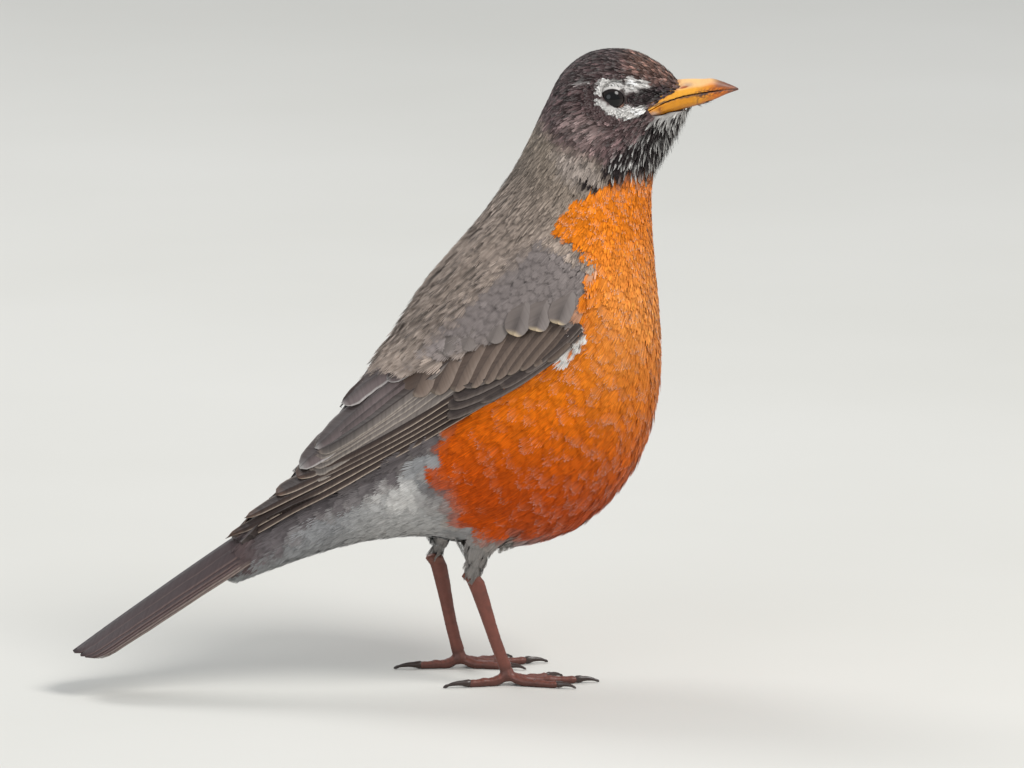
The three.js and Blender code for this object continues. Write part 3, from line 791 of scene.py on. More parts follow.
def barb_colours(coat, fan, spread):
    """The colour at each corner of each barb: in painted shade at the root, darker by the shaft, fringed at
    the tip.
    """
    shade = rng.normal(1, coat.streak[:, None], fan)[..., None, None]
    shade = np.maximum(shade, 0.2) * np.exp(rng.normal(0, coat.vary))[:, None, None, None]
    # Painted shade towards each barb's root.
    gloom = 1 - coat.gloom[:, None, None, None] * BARB_ROOT_SHADE[:, None]
    core = (coat.core[:, None] * np.clip(1.2 - 2.4 * np.abs(spread), 0, 1))[..., None, None]
    colour = coat.colour[:, None, None] * shade * gloom * (1 - core * BARB_CORE[:, None])
    tip = coat.colour[:, None] * shade[:, :, 0] * (1 - 0.5 * core[:, :, 0])
    fringe = coat.fringe[:, None] * (rng.random(fan) < 0.8)
    tip = tip + (coat.fringe_colour[:, None] - tip) * fringe[..., None]
    colours = np.empty((*fan, 7, 3))
    colours[:, :, 0:6:2] = colour
    colours[:, :, 1:6:2] = colour
    colours[:, :, 4:6] += (tip[:, :, None] - colours[:, :, 4:6]) * coat.fringe_in[:, None, None, None]
    colours[:, :, 6] = tip
    return colours


# Where the wing's long feathers lie bare, seen from the side. No body feather starts or ends there.
WING_VANES = [(44.4, 112.0), (36, 113), (28, 111), (20.6, 104.8), (8.4, 97.4), (2.5, 93.6), (-3.9, 91.4),
              (-8.0, 92.0), (-12, 91.5), (-18.7, 86.0), (-30.8, 68), (-38, 60), (-49, 51.5), (-58, 42),
              (-54, 38), (-47.7, 43.6), (-25.1, 57.9), (1.0, 73.4), (16.3, 83.7), (27.5, 92.0),
              (36.1, 96.9), (42.0, 102.4), (44.4, 106.4)]
SHOULDER_OUTLINE = [(49.6, 128), (50, 121), (47.5, 114), (44.6, 108), (22, 106.5), (4, 101.5), (12, 112),
                    (26, 124), (38, 135)]
THIGH_LIE = unit(np.array([-0.32, 0.0, -1.0]))


def bare_wing(x, y, z):
    """Where the wing's long feathers show, which body feathers keep off."""
    return (within_outline(x, z, WING_VANES, 0.2) > 0.5) & (np.abs(y) > 4.0)


EYE_PLACE = np.array([61.5, 170.6])
EYE_ROOM = np.array([3.2, 2.7])  # no feather's root comes nearer, along and up
EYE_OPEN = np.array([3.2, 2.65])  # nor its tip nearer than this
EYE_RING = 2.6  # how far out, in those widths, the short feathers of the ring go
RING_SPACING = 0.45
THROAT_SPACING = 0.56
THROAT_LENGTH = 4.2
THROAT_HALF = 0.27  # half a feather's width
HEAD_HALF = 0.36


def round_eye(x, z, rib, size):
    """The distance from the eye in its own widths, large away from the head."""
    return np.where(rib > 5, np.hypot((x - EYE_PLACE[0]) / size[0], (z - EYE_PLACE[1]) / size[1]), 99.0)


def throat_colours(colour, share, x, z):
    """Single feathers of the throat, each black or white, with more white towards the chin."""
    chin = np.exp(-(((z - 165) / 4.5) ** 2))
    pale = rng.random(len(z)) < 0.36 + 0.4 * chin * smoothstep(x, 70, 76) - 0.16 * smoothstep(x, 70, 64)
    bright = 0.35 + 0.4 * rng.random((len(z), 1)) + 0.15 * chin[:, None]
    own = np.where(pale[:, None], WHITE * bright, BLACK * 1.3)
    return np.where(share[:, None] > 0.5, own, colour)


def round_the_eye(lie, x, z, rib, near):
    """Turns the lie of feathers in front of the eye so that they part and pass round it."""
    out = np.stack([x - EYE_PLACE[0], np.zeros(len(x)), z - EYE_PLACE[1]], 1)
    out = unit(turned_way(out, head_turn(rib)))
    inward = np.minimum((lie * out).sum(1), 0) - 0.25
    return lie - out * (inward * smoothstep(near, 2.2, 1.5))[:, None]


def feather_roots(form):
    """Places on the form for all the small feathers: points, normals, whether each is the throat's, and its
    rib, angle, place in the unturned bird and way to the tail."""
    point, normal = form.scatter(FEATHER_ROOTS)
    rib, angle, rest, tailward = spine.read(point)
    x, y, z = rest.T
    head = head_share(rib)
    throat = within_outline(x, z, THROAT, 4.0) * (rib > 5) > 0.15 + 0.7 * rng.random(len(x))
    near_eye = round_eye(x, z, rib, EYE_ROOM)
    spacing = 2.0 - 1.1 * smoothstep(rib, 3.4, 4.6) - 0.28 * head
    spacing = np.where(throat, THROAT_SPACING, spacing)
    spacing = np.where(near_eye < EYE_RING, RING_SPACING, spacing)
    free = ~bare_wing(x, y, z) & (near_eye > 1)
    free &= ~((x > 70) & (within_outline(x, z, BILL_BARE, 0.1) > 0.5))
    free &= x > -48 + 5 * rng.random(len(x)) ** 2
    kept = np.flatnonzero(free)
    kept = kept[thinned(point[kept], spacing[kept])]
    return [column[kept] for column in (point, normal, 1.0 * throat, rib, angle, rest, tailward)]


def feather_lie(point, normal, rib, rest, tailward, head, near_eye, thigh):
    """The way each feather lies: to the tail, and on the head away from the bill and round the eye."""
    x, _, z = rest.T
    from_bill = unit(point - turned(BILL_ROOT[None] + np.zeros_like(point), head_turn(rib)))
    lie = tailward * (1 - head)[:, None] + from_bill * head[:, None]
    lie = round_the_eye(lie, x, z, rib, near_eye)
    lie = np.where(thigh[:, None], THIGH_LIE, lie) + rng.normal(0, 0.05, lie.shape)
    lie = unit(lie - (lie * normal).sum(1, keepdims=True) * normal)
    return np.where((thigh & (normal[:, 2] < -0.4))[:, None], THIGH_LIE, lie)


def body_coat(form):
    """All the small feathers, with their sizes, colours and lie."""
    point, normal, throat, rib, angle, rest, tailward = feather_roots(form)
    x, y, z = rest.T
    head = head_share(rib)
    face = smoothstep(x, 66, 76) * head
    near_eye = round_eye(x, z, rib, EYE_ROOM)
    under = np.abs(angle) / math.pi
    thigh = on_thigh(x, y, z) > 0.5
    lie = feather_lie(point, normal, rib, rest, tailward, head, near_eye, thigh)
    shoulder = within_outline(x, z, SHOULDER_OUTLINE, 3) * (np.abs(y) > 12)
    scapular = smoothstep(x, 24, 10) * smoothstep(x, -14, -6) * (z > 92) * (1 - head)
    rear = smoothstep(x, 2, -8)
    length = 9.0 - 3.2 * nape_share(rib) - 2.5 * head - 0.8 * face
    length += 3.0 * scapular - 3.2 * shoulder - 0.8 * rear
    length = np.where(throat > 0.5, THROAT_LENGTH - 1.2 * face, length)
    length = np.where(near_eye < EYE_RING, 0.9 + 0.5 * smoothstep(near_eye, 1.3, 2.0), length)
    length = np.where(thigh, 5.0 + 1.6 * smoothstep(z, 41, 36), length) * rng.normal(1, 0.08, len(x))
    shown, _ = form.nearest(point + lie * (length * 0.6)[:, None])
    breast = within_outline(shown[:, 0], shown[:, 2], BREAST, 1)
    colour = blended(markings(shown), shoulder * (breast < 0.5), SHOULDER)
    # Painted light on the lower shoulder feathers, which lie in shade below the lifted ones.
    colour = colour * (1 + 0.4 * scapular * smoothstep(z, 113, 105))[:, None]
    colour = throat_colours(colour, throat * (near_eye > 2.2), x, z)
    nape = smoothstep(rib, 3.6, 4.4) * (1 - head) * (1 - 0.75 * breast)
    half = length * (0.3 - 0.19 * nape) * (1 - head) + HEAD_HALF * head
    lift = rng.normal(0.12, 0.1, len(x)) * (1 - 0.5 * head)
    lift = lift + (0.9 + 0.5 * smoothstep(z, 108, 100)) * scapular
    chin = smoothstep(under, 0.72, 0.93) * smoothstep(z, 168, 163) * smoothstep(z, 148, 158)
    lift = np.where(throat > 0.5, rng.normal(1.4, 0.7, len(x)) + 3.2 * chin, lift)
    # Dark along the shaft, strongest down the middle of the back.
    back = 0.3 + 0.6 * smoothstep(under, 0.34, 0.2)
    core = np.where((rib < 5) & (under < 0.4), back, 0.05 + 0.3 * head)
    core = core * (1 - shoulder) * rng.random(len(x)) ** 0.7
    # Pale fringes on some of the breast's feathers, most at the front, and fainter ones elsewhere.
    lower = smoothstep(z, 120, 96)
    bib = breast * smoothstep(z, 139, 145)
    front = breast * smoothstep(x, 26, 44)
    fringed = rng.random(len(x)) < 0.11 + 0.1 * lower + 0.26 * bib + 0.16 * front
    fringe = breast * fringed * (0.5 + 0.3 * front + (0.5 - 0.3 * front) * rng.random(len(x)))
    fringe = fringe + (0.14 + 0.4 * head * (rng.random(len(x)) < 0.5)) * (1 - breast)
    fringe_colour = BUFF + (WHITE - BUFF) * (1 - 0.6 * breast + 0.35 * front)[:, None]
    around_body = 0.5 + angle / (2 * math.pi) * 0.96
    along_body = 0.03 + 0.94 * (rib + 0.4) / 9.8
    coat = Coat(
        root=point,
        normal=normal,
        lie=lie,
        length=length,
        half=np.where(throat > 0.5, THROAT_HALF, half),
        depth=coat_depth(rib) - 0.4 * head - 0.7 * shoulder,
        lift=lift,
        ragged=0.05 + 0.02 * head + 0.02 * rear,
        loose=thigh * smoothstep(z, 41, 37),
        streak=0.08 + 0.12 * head * (1 - throat) + 0.05 * breast + 0.2 * nape - 0.03 * shoulder,
        vary=0.06 - 0.02 * shoulder + (0.55 * head * (near_eye > 2.2) + 0.1 * nape) * (1 - throat),
        # How deep the painted shade at each feather's root is.
        gloom=0.3 - 0.16 * breast - 0.25 * shoulder + 0.1 * head,
        throat=throat,
        side=y,
        colour=colour,
        core=core,
        fringe=fringe,
        fringe_in=0.35 * head + 0.08,
        fringe_colour=blended(colour, 0.5 + 0.4 * breast, fringe_colour),
        map=np.stack([around_body, along_body], 1),
        rib=rib,
        under=under,
        x=x,
        z=z,
    )
    end, _ = form.nearest(point + lie * (length * 0.85)[:, None])
    end_rib, _, end_rest, _ = spine.read(end)
    clear = ~bare_wing(*end.T) | ((x > 41) & (z > 109))
    clear &= round_eye(end_rest[:, 0], end_rest[:, 2], end_rib, EYE_OPEN) > 1
    return coat.pick(clear)


FLESH = ["head", "neck", "trunk", "rump", "thigh_right", "thigh_left"]
WING_NODES = [
    f"wing_{side}_{group}"
    for side in SIDES
    for group in ("shoulder", "coverts", "alula", "tertials", "secondaries", "primaries")
]


FOREHEAD_DROP = 2.1


def lower_forehead(mesh):
    """Eases the forehead down to the bill, as its short feathers lie."""
    points = vertices_of(mesh)
    rib, _, rest, _ = spine.read(points)
    x, _, z = rest.T
    points[:, 2] -= FOREHEAD_DROP * smoothstep(x, 66, 80) * smoothstep(z, 172, 178) * (rib > 6)
    move_vertices(mesh, points)


LIDS_AT = 11.5  # how far out from the head's middle the face meets the lids
FACE_FALL = 1.8  # and how much nearer it is one eye's width further on
SOCKET = 1.85  # how far out the socket goes, in the eye's widths
FACE_LIFT = 2.0  # the most that the rest of the face is eased out


def build_up_face(mesh):
    """Brings the face up to the lids all round the eye, so its short feathers meet them."""
    points = vertices_of(mesh)
    rib, _, rest, _ = spine.read(points)
    x, y, z = rest.T
    near = round_eye(x, z, rib, EYE_ROOM)
    wanted = LIDS_AT - FACE_FALL * np.maximum(near - 1, 0)
    lift = np.maximum(wanted - np.abs(y), 0) * smoothstep(near, 2.5, 1.7)
    # The socket itself is filled right up.
    lift = np.where(near < SOCKET, lift, np.minimum(lift, FACE_LIFT)) * (np.abs(y) > 3)
    outward = turned_way(np.array([[0.0, 1.0, 0.0]]), HEAD_TURN)[0]
    points += outward * (lift * np.sign(y))[:, None]
    move_vertices(mesh, points)


# Painted shade: the skin is the coat's colour darkened, as in the shade between feathers.
SKIN_SHADE = 0.7  # the skin's colour against the coat's, as between feathers


def make_skin(mesh, finish):
    """One skin under the coat, replacing the flesh, with the coat's markings darkened as painted shade."""
    points = vertices_of(mesh)
    rib = spine.read(points)[0]
    depth = coat_depth(rib) - 0.35 * smoothstep(rib, 5.2, 6.6)
    depth += 2.6 * smoothstep(points[:, 0], -42, -50)
    inset = points - normals_of(mesh) * depth[:, None]
    tint_mesh(mesh, markings(points) * SKIN_SHADE)
    move_vertices(mesh, inset)
    shade_smooth(mesh)
    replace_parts(show("skin", mesh, finish), *FLESH)


# ---------------------------------------------------------------- long feathers: wings and tail

ALONG = 1 - (1 - np.linspace(0, 1, 19)) ** 1.25  # stations of a vane, closer towards its tip
ACROSS = np.array([-1, -0.93, -0.8, -0.5, -0.15, 0, 0.15, 0.5, 0.8, 0.93, 1])  # outer edge to inner edge
VANE_THICKNESS = 0.14
SHAFT_RIDGE = 0.07
BARB_RAKE = 0.25  # how far forward barbs run for their length
# Painted shade: each vane's underside is a darker copy of its upper side.
UNDERSIDE_SHADE = (0.8, 0.8, 0.8, 1)
FAR_WING_DROP = 2.8
PATCH_SIZE = (0.42, 0.92)  # of a vane's side in its cell of the bake map
PATCH_STEP = (0.48, 0)  # from the upper side's patch to the underside's
PATCH_MARGIN = 0.04


def vane_width(share, root, tip_from):
    """The share of its full width that a vane has along its length."""
    base = root + (1 - root) * smoothstep(share, 0, 0.35)
    end = np.clip((share - tip_from) / (1 - tip_from), 0, 1)
    return base * np.sqrt(np.maximum(1 - end**2, 0.006))


def mirror_across(points):
    """A wing's points on the other side of the body, where its tips lie a little lower on the rump."""
    points = points * np.array([1, -1, 1])
    points[..., 2] -= FAR_WING_DROP * smoothstep(points[..., 0], -5, -30)
    return points


class Vanes:
    """Vanes gathered into one mesh, each a closed thin shell with a ridge for its shaft."""

    def __init__(self):
        self.points = []
        self.colours = []
        self.places = []

    def add(
        self, shaft, outward, webs, rise, kind, lay, tip_from, root=0.5, camber=0.15, tuck=0.6, shade=1.0
    ):
        """shaft: places along the shaft on a flat sheet; outward: the way to its outer edge there; webs:
        the outer and inner web's width; rise: height over the sheet at root and tip; lay: turns flat
        places into points in space and their normals; tip_from: where the tip begins to round; root: the
        share of its width at the root; tuck: how far the inner edge goes under."""
        way = unit(np.gradient(shaft, axis=0))
        outer = np.stack([way[:, 1], -way[:, 0]], 1)
        outer *= np.sign((outer @ np.array(outward)).sum())
        ragged = 1 + rng.normal(0, 0.02, (len(ALONG), 2))
        reach = np.where(ACROSS < 0, webs[0] * ragged[:, :1], webs[1] * ragged[:, 1:])
        aside = -ACROSS * reach * vane_width(ALONG, root, tip_from)[:, None]
        flat = shaft[:, None] + outer[:, None] * aside[..., None]
        # The barbs run forward as they leave the shaft, which rounds the tip.
        flat += way[:, None] * (BARB_RAKE * np.abs(aside) * (ALONG[:, None] > 0.05))[..., None]
        base, up = lay(flat.reshape(-1, 2))
        base = base.reshape(*aside.shape, 3)
        up = up.reshape(*aside.shape, 3)
        height = rise[0] + (rise[1] - rise[0]) * np.sqrt(ALONG)[:, None] + camber * (1 - ACROSS**2)
        height = height - tuck * np.sqrt(np.clip(ACROSS, 0, 1))
        height = height + SHAFT_RIDGE * (ACROSS == 0) * (1 - ALONG[:, None])
        top = base + up * height[..., None]
        self.points.append(np.stack([top, top - up * VANE_THICKNESS]))
        self.colours.append(vane_colours(kind) * (shade, shade, shade, 1))
        span = np.linalg.norm(np.diff(shaft, axis=0), axis=1).sum()
        along = np.broadcast_to(ALONG[:, None] * span, aside.shape)
        tone = np.full(aside.shape, rng.random() * 1000)
        self.places.append(np.stack([-aside, along, tone], -1))

    def mirrored(self):
        """The same vanes on the other side of the body."""
        other = Vanes()
        other.points = [mirror_across(points) for points in self.points]
        other.colours = self.colours
        other.places = self.places
        return other

    def mesh(self, name):
        rows, columns = len(ALONG), len(ACROSS)
        count = len(self.points)
        grid = np.arange(rows * columns).reshape(rows, columns)
        a, b, c, d = grid[:-1, :-1], grid[:-1, 1:], grid[1:, 1:], grid[1:, :-1]
        top = np.stack([a, b, c, d], -1).reshape(-1, 4)
        under = top[:, ::-1] + rows * columns
        ring = np.concatenate([grid[0], grid[1:, -1], grid[-1, -2::-1], grid[-2:0:-1, 0]])
        ahead = np.roll(ring, -1)
        rim = np.stack([ahead, ring, ring + rows * columns, ahead + rows * columns], -1)
        shell = np.concatenate([top, under, rim])
        points = np.array(self.points)
        quads = []
        for number, (outer, inner) in enumerate(points):
            # Its faces look outwards from the shell, judged near the middle of the shaft.
            here = outer[8, 4]
            flat = np.cross(outer[9, 4] - here, outer[8, 6] - here)
            facing_in = (flat * (here - inner[8, 4])).sum() > 0
            faces = shell[:, ::-1] if facing_in else shell
            quads.append(faces + number * 2 * rows * columns)
        cells = math.ceil(math.sqrt(count))
        u, v = np.meshgrid(np.linspace(0, 1, columns), ALONG)
        patch = np.stack([u, v], -1) * PATCH_SIZE
        patch = np.stack([patch, patch + PATCH_STEP]) + PATCH_MARGIN
        corner = np.stack([np.arange(count) % cells, np.arange(count) // cells], -1)
        uv = (corner[:, None, None, None] + patch) / cells
        colours = np.array(self.colours)
        colours = np.stack([colours, colours * UNDERSIDE_SHADE], 1)
        mesh = write_mesh(
            name,
            points.reshape(-1, 3),
            np.concatenate(quads),
            np.zeros((0, 3), int),
            colours.reshape(-1, 4),
            uv.reshape(-1, 2),
        )
        places = np.array(self.places)
        layer = mesh.attributes.new("vane", "FLOAT_VECTOR", "POINT")
        layer.data.foreach_set("vector", (np.stack([places, places], 1) * MM).ravel())
        return mesh


# How each kind of vane is marked: its outer and inner webs, its pale edge and how far in it comes, its
# tip, the dark along its shaft, how crisp its barbs and shaft are, and how much it darkens to its tip.
VANE_KINDS = {
    "primary": dict(outer=(66, 50, 43), inner=(52, 40, 36), edge=(232, 212, 192), edged=1.0,
                    border=(0.76, 0.9), tip=(168, 130, 110), tipped=0.35, tip_at=0.95, spot=0.2, crisp=1.0),
    "secondary": dict(outer=(130, 120, 114), inner=(76, 65, 61), edge=(208, 194, 180), edged=0.7,
                      border=(0.76, 0.9), darkens=0.45, tip=(168, 150, 138), tipped=0.4, tip_at=0.93,
                      spot=0.3, crisp=1.0),
    "tertial": dict(outer=(136, 120, 118), inner=(86, 72, 69), edge=(230, 224, 219), edged=0.95,
                    border=(0.84, 0.95), darkens=0.3, tip=(226, 222, 218), tipped=0.8, tip_at=0.965,
                    spot=0.5, crisp=0.7),
    "greater": dict(outer=(120, 103, 92), inner=(94, 78, 69), edge=(162, 146, 134), edged=0.6,
                    border=(0.66, 0.9), tip=(164, 150, 134), tipped=0.4, tip_at=0.93, spot=0.25,
                    crisp=0.35),
    "median": dict(outer=(128, 119, 115), inner=(118, 108, 103), edge=(146, 138, 132), edged=0.25,
                   border=(0.7, 0.9), tip=(214, 192, 158), tipped=0.85, tip_at=0.85, spot=0.45, crisp=0.15),
    "inner_median": dict(outer=(126, 117, 112), inner=(120, 111, 106), edge=(140, 132, 127), edged=0.2,
                         border=(0.7, 0.9), tip=(142, 134, 128), tipped=0.3, tip_at=0.93, spot=0.15,
                         crisp=0.1),
    "alula": dict(outer=(84, 73, 68), inner=(58, 48, 45), edge=(150, 139, 132), edged=0.6,
                  border=(0.6, 0.85), tip=(134, 120, 111), tipped=0.4, tip_at=0.93, spot=0.2, crisp=0.6),
    "tail": dict(outer=(66, 51, 52), inner=(46, 36, 37), edge=(132, 110, 104), edged=0.7,
                 border=(0.84, 0.96), tip=(84, 70, 70), tipped=0.3, tip_at=0.93, spot=0.2, crisp=0.8),
    "outer_tail": dict(outer=(66, 53, 53), inner=(48, 39, 40), edge=(164, 146, 136), edged=0.8,
                       border=(0.8, 0.95), tip=(205, 200, 196), tipped=0.8, tip_at=0.93, spot=0.2,
                       crisp=0.8),
}


def vane_colours(kind):
    """The colour at each place of a vane, and how crisp its barbs are."""
    look = VANE_KINDS[kind]
    across, along = np.meshgrid(ACROSS, ALONG)
    flat = across.ravel()
    share = along.ravel()
    colour = paint(*look["outer"]) + np.zeros((flat.size, 3))
    colour = blended(colour, smoothstep(flat, -0.5, 0.5), paint(*look["inner"]))
    colour = colour * (1 - look.get("darkens", 0) * smoothstep(share, 0.35, 0.85))[:, None]
    edge = np.maximum(smoothstep(-flat, *look["border"]), 0.4 * smoothstep(flat, 0.85, 1.0))
    colour = layered(
        colour,
        (look["spot"] * np.exp(-((flat / 0.35) ** 2)) * smoothstep(share, 0.1, 0.7), BLACK),
        (look["edged"] * edge * (0.9 - 0.3 * share), paint(*look["edge"])),
        (look["tipped"] * smoothstep(share, look["tip_at"], 0.99), paint(*look["tip"])),
    )
    colour = colour * rng.normal(1, 0.04) * (1 - 0.12 * (1 - share[:, None]))
    crisp = np.full((flat.size, 1), look["crisp"])
    return np.concatenate([np.clip(colour, *COLOUR_RANGE), crisp], 1).reshape(*across.shape, 4)


# The right wing's tracts seen from the side, x and z. Each gives roots, middles and tips of the shafts from
# the outermost feather to the innermost, the webs' widths, the height over the wing's sheet at root and
# tip, where the tip begins to round, and where they differ the feathers' shades.
WING_TRACTS = [
    dict(kind="primary", count=5, roots=[(23.4, 89.9), (22, 91), (21, 92.2), (20, 93.6), (19, 95.2)],
         middles=[(-14.1, 67.0), (-14.0, 68.4), (-13.2, 70.4), (-13.2, 71.8), (-11.6, 74.4)],
         tips=[(-52.0, 42.4), (-52.6, 43.9), (-47.3, 50.0), (-38.6, 56.8), (-32.4, 61.9)],
         webs=[(1.1, 1.5), (1.1, 1.7), (1.3, 2.8)], rise=[(-0.7, -0.1), (-0.4, 0.35)], tip_from=0.86),
    dict(kind="secondary", count=6, roots=[(17.5, 96), (10, 99)], middles=[(-12.6, 75.6), (-11.1, 80.3)],
         tips=[(-30.0, 63.5), (-26.0, 69.0)], webs=[(3.6, 2.0), (2.0, 2.1), (1.6, 2.6)],
         rise=[(-0.6, 0.2), (0.2, 1.0)], tip_from=0.88),
    dict(kind="tertial", count=4, roots=[(6.4, 99.0), (6, 103.4), (7, 107.4), (6, 106.0)],
         middles=[(-12.0, 82.2), (-11.0, 85.8), (-7.4, 92.8), (0.2, 98.0)],
         tips=[(-31.2, 64.2), (-26.4, 69.8), (-17.8, 82.0), (-6.7, 90.3)],
         webs=[(2.7, 2.6), (2.6, 1.9), (2.2, 1.5), (1.9, 1.6)],
         rise=[(-0.8, 0.85), (-1.6, 0.9), (-3.4, 1.0), (-5, 1.1)], tip_from=0.76),
    dict(kind="alula", count=4, roots=[(36, 98.0), (31, 101.0)], middles=[(21.8, 89.4), (21.2, 94.7)],
         tips=[(7.4, 81.6), (7.6, 84.5), (9.3, 87.1), (11.9, 91.1)], webs=[(1.2, 2.6), (1.3, 2.8)],
         rise=[(-0.2, 0.5), (0.1, 0.7)], tip_from=0.84),
    dict(kind="alula", count=3, roots=[(45.6, 106.4), (45.1, 108.6)], middles=[(31.6, 95.6), (37.4, 102.0)],
         tips=[(16.4, 86.5), (22.0, 90.8), (28.9, 95.4)], webs=[(1.1, 2.3), (1.2, 2.5)],
         rise=[(0.0, 0.8), (0.2, 0.9)], tip_from=0.84),
    dict(kind="greater", count=10, roots=[(45.1, 108.8), (38.1, 110.9), (25.7, 107.9), (9.9, 107.0)],
         middles=[(40.5, 103.5), (30.6, 103.0), (19.6, 99.9), (4.0, 98.0)],
         tips=[(35.0, 98.4), (24.0, 94.6), (14.2, 90.6), (-1.0, 87.2)],
         webs=[(1.3, 2.4), (1.9, 3.0), (2.2, 3.4), (3.6, 4.0)], rise=[(-0.7, 1.0), (-1.7, 0.9)],
         tip_from=0.74, shades=[0.72, 0.95, 1.08]),
    dict(kind="inner_median", count=4, roots=[(9.7, 109.9), (15.0, 112.0), (24.6, 114.2)],
         middles=[(7.0, 103.6), (12.2, 105.6), (22.4, 108.8)], tips=[(4.3, 98), (9.4, 100), (20.0, 103.4)],
         webs=[(3.0, 3.4), (3.0, 3.4)], rise=[(-2.4, 0.7), (-1.8, 0.9)], tip_from=0.6),
    dict(kind="median", count=3, roots=[(30.1, 115.8), (36.2, 116.5), (43.3, 118.7)],
         middles=[(28.1, 110.8), (33.9, 111.8), (40.3, 113.7)],
         tips=[(26.3, 105.5), (32.3, 107.0), (38.4, 109.0)], webs=[(3.1, 3.5), (3.1, 3.5)],
         rise=[(-0.6, 1.6), (-0.6, 1.9)], tip_from=0.6),
]
# The folded right wing seen from the side.
WING_OUTLINE = [(49.9, 127.3), (47.1, 118.5), (44.4, 110), (44.4, 106.8), (42.0, 103.1), (36.1, 97.6),
                (27.5, 92.7), (16.3, 84.4), (1.0, 74.1), (-25.1, 58.7), (-47.7, 44.5), (-52.4, 41.1),
                (-53.6, 42.2), (-49.1, 48.9), (-38.1, 57.4), (-33.7, 60.8), (-30.8, 64.7), (-22.8, 77.8),
                (-18.7, 83.2), (-3.9, 92.9), (8.1, 103.2), (23.4, 118.2), (39.3, 130.9)]
SHEET_BLUR = 4.0  # over which the sheet smooths the wing's form


def spread(values, count):
    """count values read evenly along a short list."""
    values = np.asarray(values, float)
    return curve_through(values, np.linspace(0, len(values) - 1, count))


class WingSheet:
    """The right wing's outer surface seen from the side: its y and normal at any x and z near the wing."""

    def __init__(self, form):
        x, z = (v.ravel() for v in np.meshgrid(np.arange(-58, 54, 2.0), np.arange(36, 134, 2.0)))
        inside = within_outline(x, z, WING_OUTLINE, 0.1) > 0.5
        start = np.stack([x, np.full(len(x), -70.0), z], 1)[inside]
        self.known = form.cast(start, (0, 1, 0))

    def lay(self, flat):
        """The sheet as a plane fitted to the form round each place."""
        step = self.known[None, :, [0, 2]] - flat[:, None]
        weight = np.exp(-(step**2).sum(2) / (2 * SHEET_BLUR**2)) + 1e-8
        terms = np.concatenate([np.ones((*step.shape[:2], 1)), step], 2)
        square = np.einsum("pk,pki,pkj->pij", weight, terms, terms) + np.diag([0, 1e-4, 1e-4])
        right = np.einsum("pk,pki,k->pi", weight, terms, self.known[:, 1])
        y, slope_x, slope_z = np.linalg.solve(square, right[..., None])[..., 0].T
        points = np.stack([flat[:, 0], np.minimum(y, -0.6), flat[:, 1]], 1)
        return points, unit(np.stack([slope_x, np.full(len(y), -1.0), slope_z], 1))


def wing_vanes(sheet, tracts):
    """The right wing's feathers, tract by tract."""
    vanes = Vanes()
    share = ALONG[:, None]
    outward = (0.5, -0.85)
    for tract in tracts:
        count = tract["count"]
        columns = [spread(tract[key], count) for key in ("roots", "middles", "tips", "webs", "rise")]
        shades = tract.get("shades", (1.0, 1.0))
        shades = np.interp(np.linspace(0, len(shades) - 1, count), range(len(shades)), shades)
        for root, middle, tip, webs, rise, shade in zip(*columns, shades):
            middle = middle + rng.normal(0, 0.12, 2)
            bend = 2 * middle - (root + tip) / 2
            shaft = root * (1 - share) ** 2 + 2 * bend * share * (1 - share) + tip * share**2
            kind, tip_from = tract["kind"], tract["tip_from"]
            vanes.add(shaft, outward, webs, rise, kind, sheet.lay, tip_from, shade=shade)
    return vanes


# The tail's ridge.
TAIL_LINE = np.array([
    (-33.9, 53.6),
    (-47.9, 45.6),
    (-61.9, 36.6),
    (-75.9, 27.2),
    (-86.9, 19.7),
    (-97.3, 12.4),
])
TAIL_PAIRS = 6
TAIL_LAYER = 0.3  # how far a feather lies under the next inner one
TAIL_SHORTER = 0.014  # of its length
TAIL_FAN = (1.0, 4.0, 5.5, 6.3, 6.9, 7.4)  # the shafts' places sideways at the tip, innermost first
TAIL_SLOPE = (0.62, 0.26)  # how steeply the folded tail falls away from its ridge, at root and tip
TAIL_AT_ROOT = 0.9  # the share of that at the root
TAIL_UP = unit(np.array([-0.48, 0, 0.87]))  # square to the tail
TAIL_WEBS = (3.6, 4.6)


def tail_vanes():
    """The folded tail's feathers, from the outermost pair to the innermost on top."""
    vanes = Vanes()
    stations = np.linspace(0, 1, 60)
    line = curve_through(TAIL_LINE, stations * (len(TAIL_LINE) - 1))
    span = np.linalg.norm(np.diff(TAIL_LINE, axis=0), axis=1).sum()

    def lay(flat):
        """flat: the share of the tail's length and the place across."""
        share = flat[:, 0] / span
        past = np.maximum(share - 1, 0) * span
        x = np.interp(share, stations, line[:, 0]) - past * TAIL_UP[2]
        z = np.interp(share, stations, line[:, 1]) + past * TAIL_UP[0]
        slope = TAIL_SLOPE[0] + (TAIL_SLOPE[1] - TAIL_SLOPE[0]) * share
        drop = slope * np.sqrt(flat[:, 1] ** 2 + 1.0)
        points = np.stack([x, flat[:, 1], z], 1) - TAIL_UP * drop[:, None]
        return points, np.broadcast_to(TAIL_UP, points.shape)

    for pair in range(TAIL_PAIRS - 1, -1, -1):
        for sign in SIDES.values():
            out = sign * TAIL_FAN[pair]
            y = out * (TAIL_AT_ROOT + (1 - TAIL_AT_ROOT) * ALONG)
            shaft = np.stack([ALONG * (1 - TAIL_SHORTER * pair) * span, y], 1)
            rise = -TAIL_LAYER * pair + np.array([0.0, 0.15])
            kind = "outer_tail" if pair >= TAIL_PAIRS - 2 else "tail"
            vanes.add(shaft, (0, sign), TAIL_WEBS, rise, kind, lay, 0.88, root=0.6, camber=0.35, tuck=0.3)
    return vanes


# ---------------------------------------------------------------- bill, eyes and legs


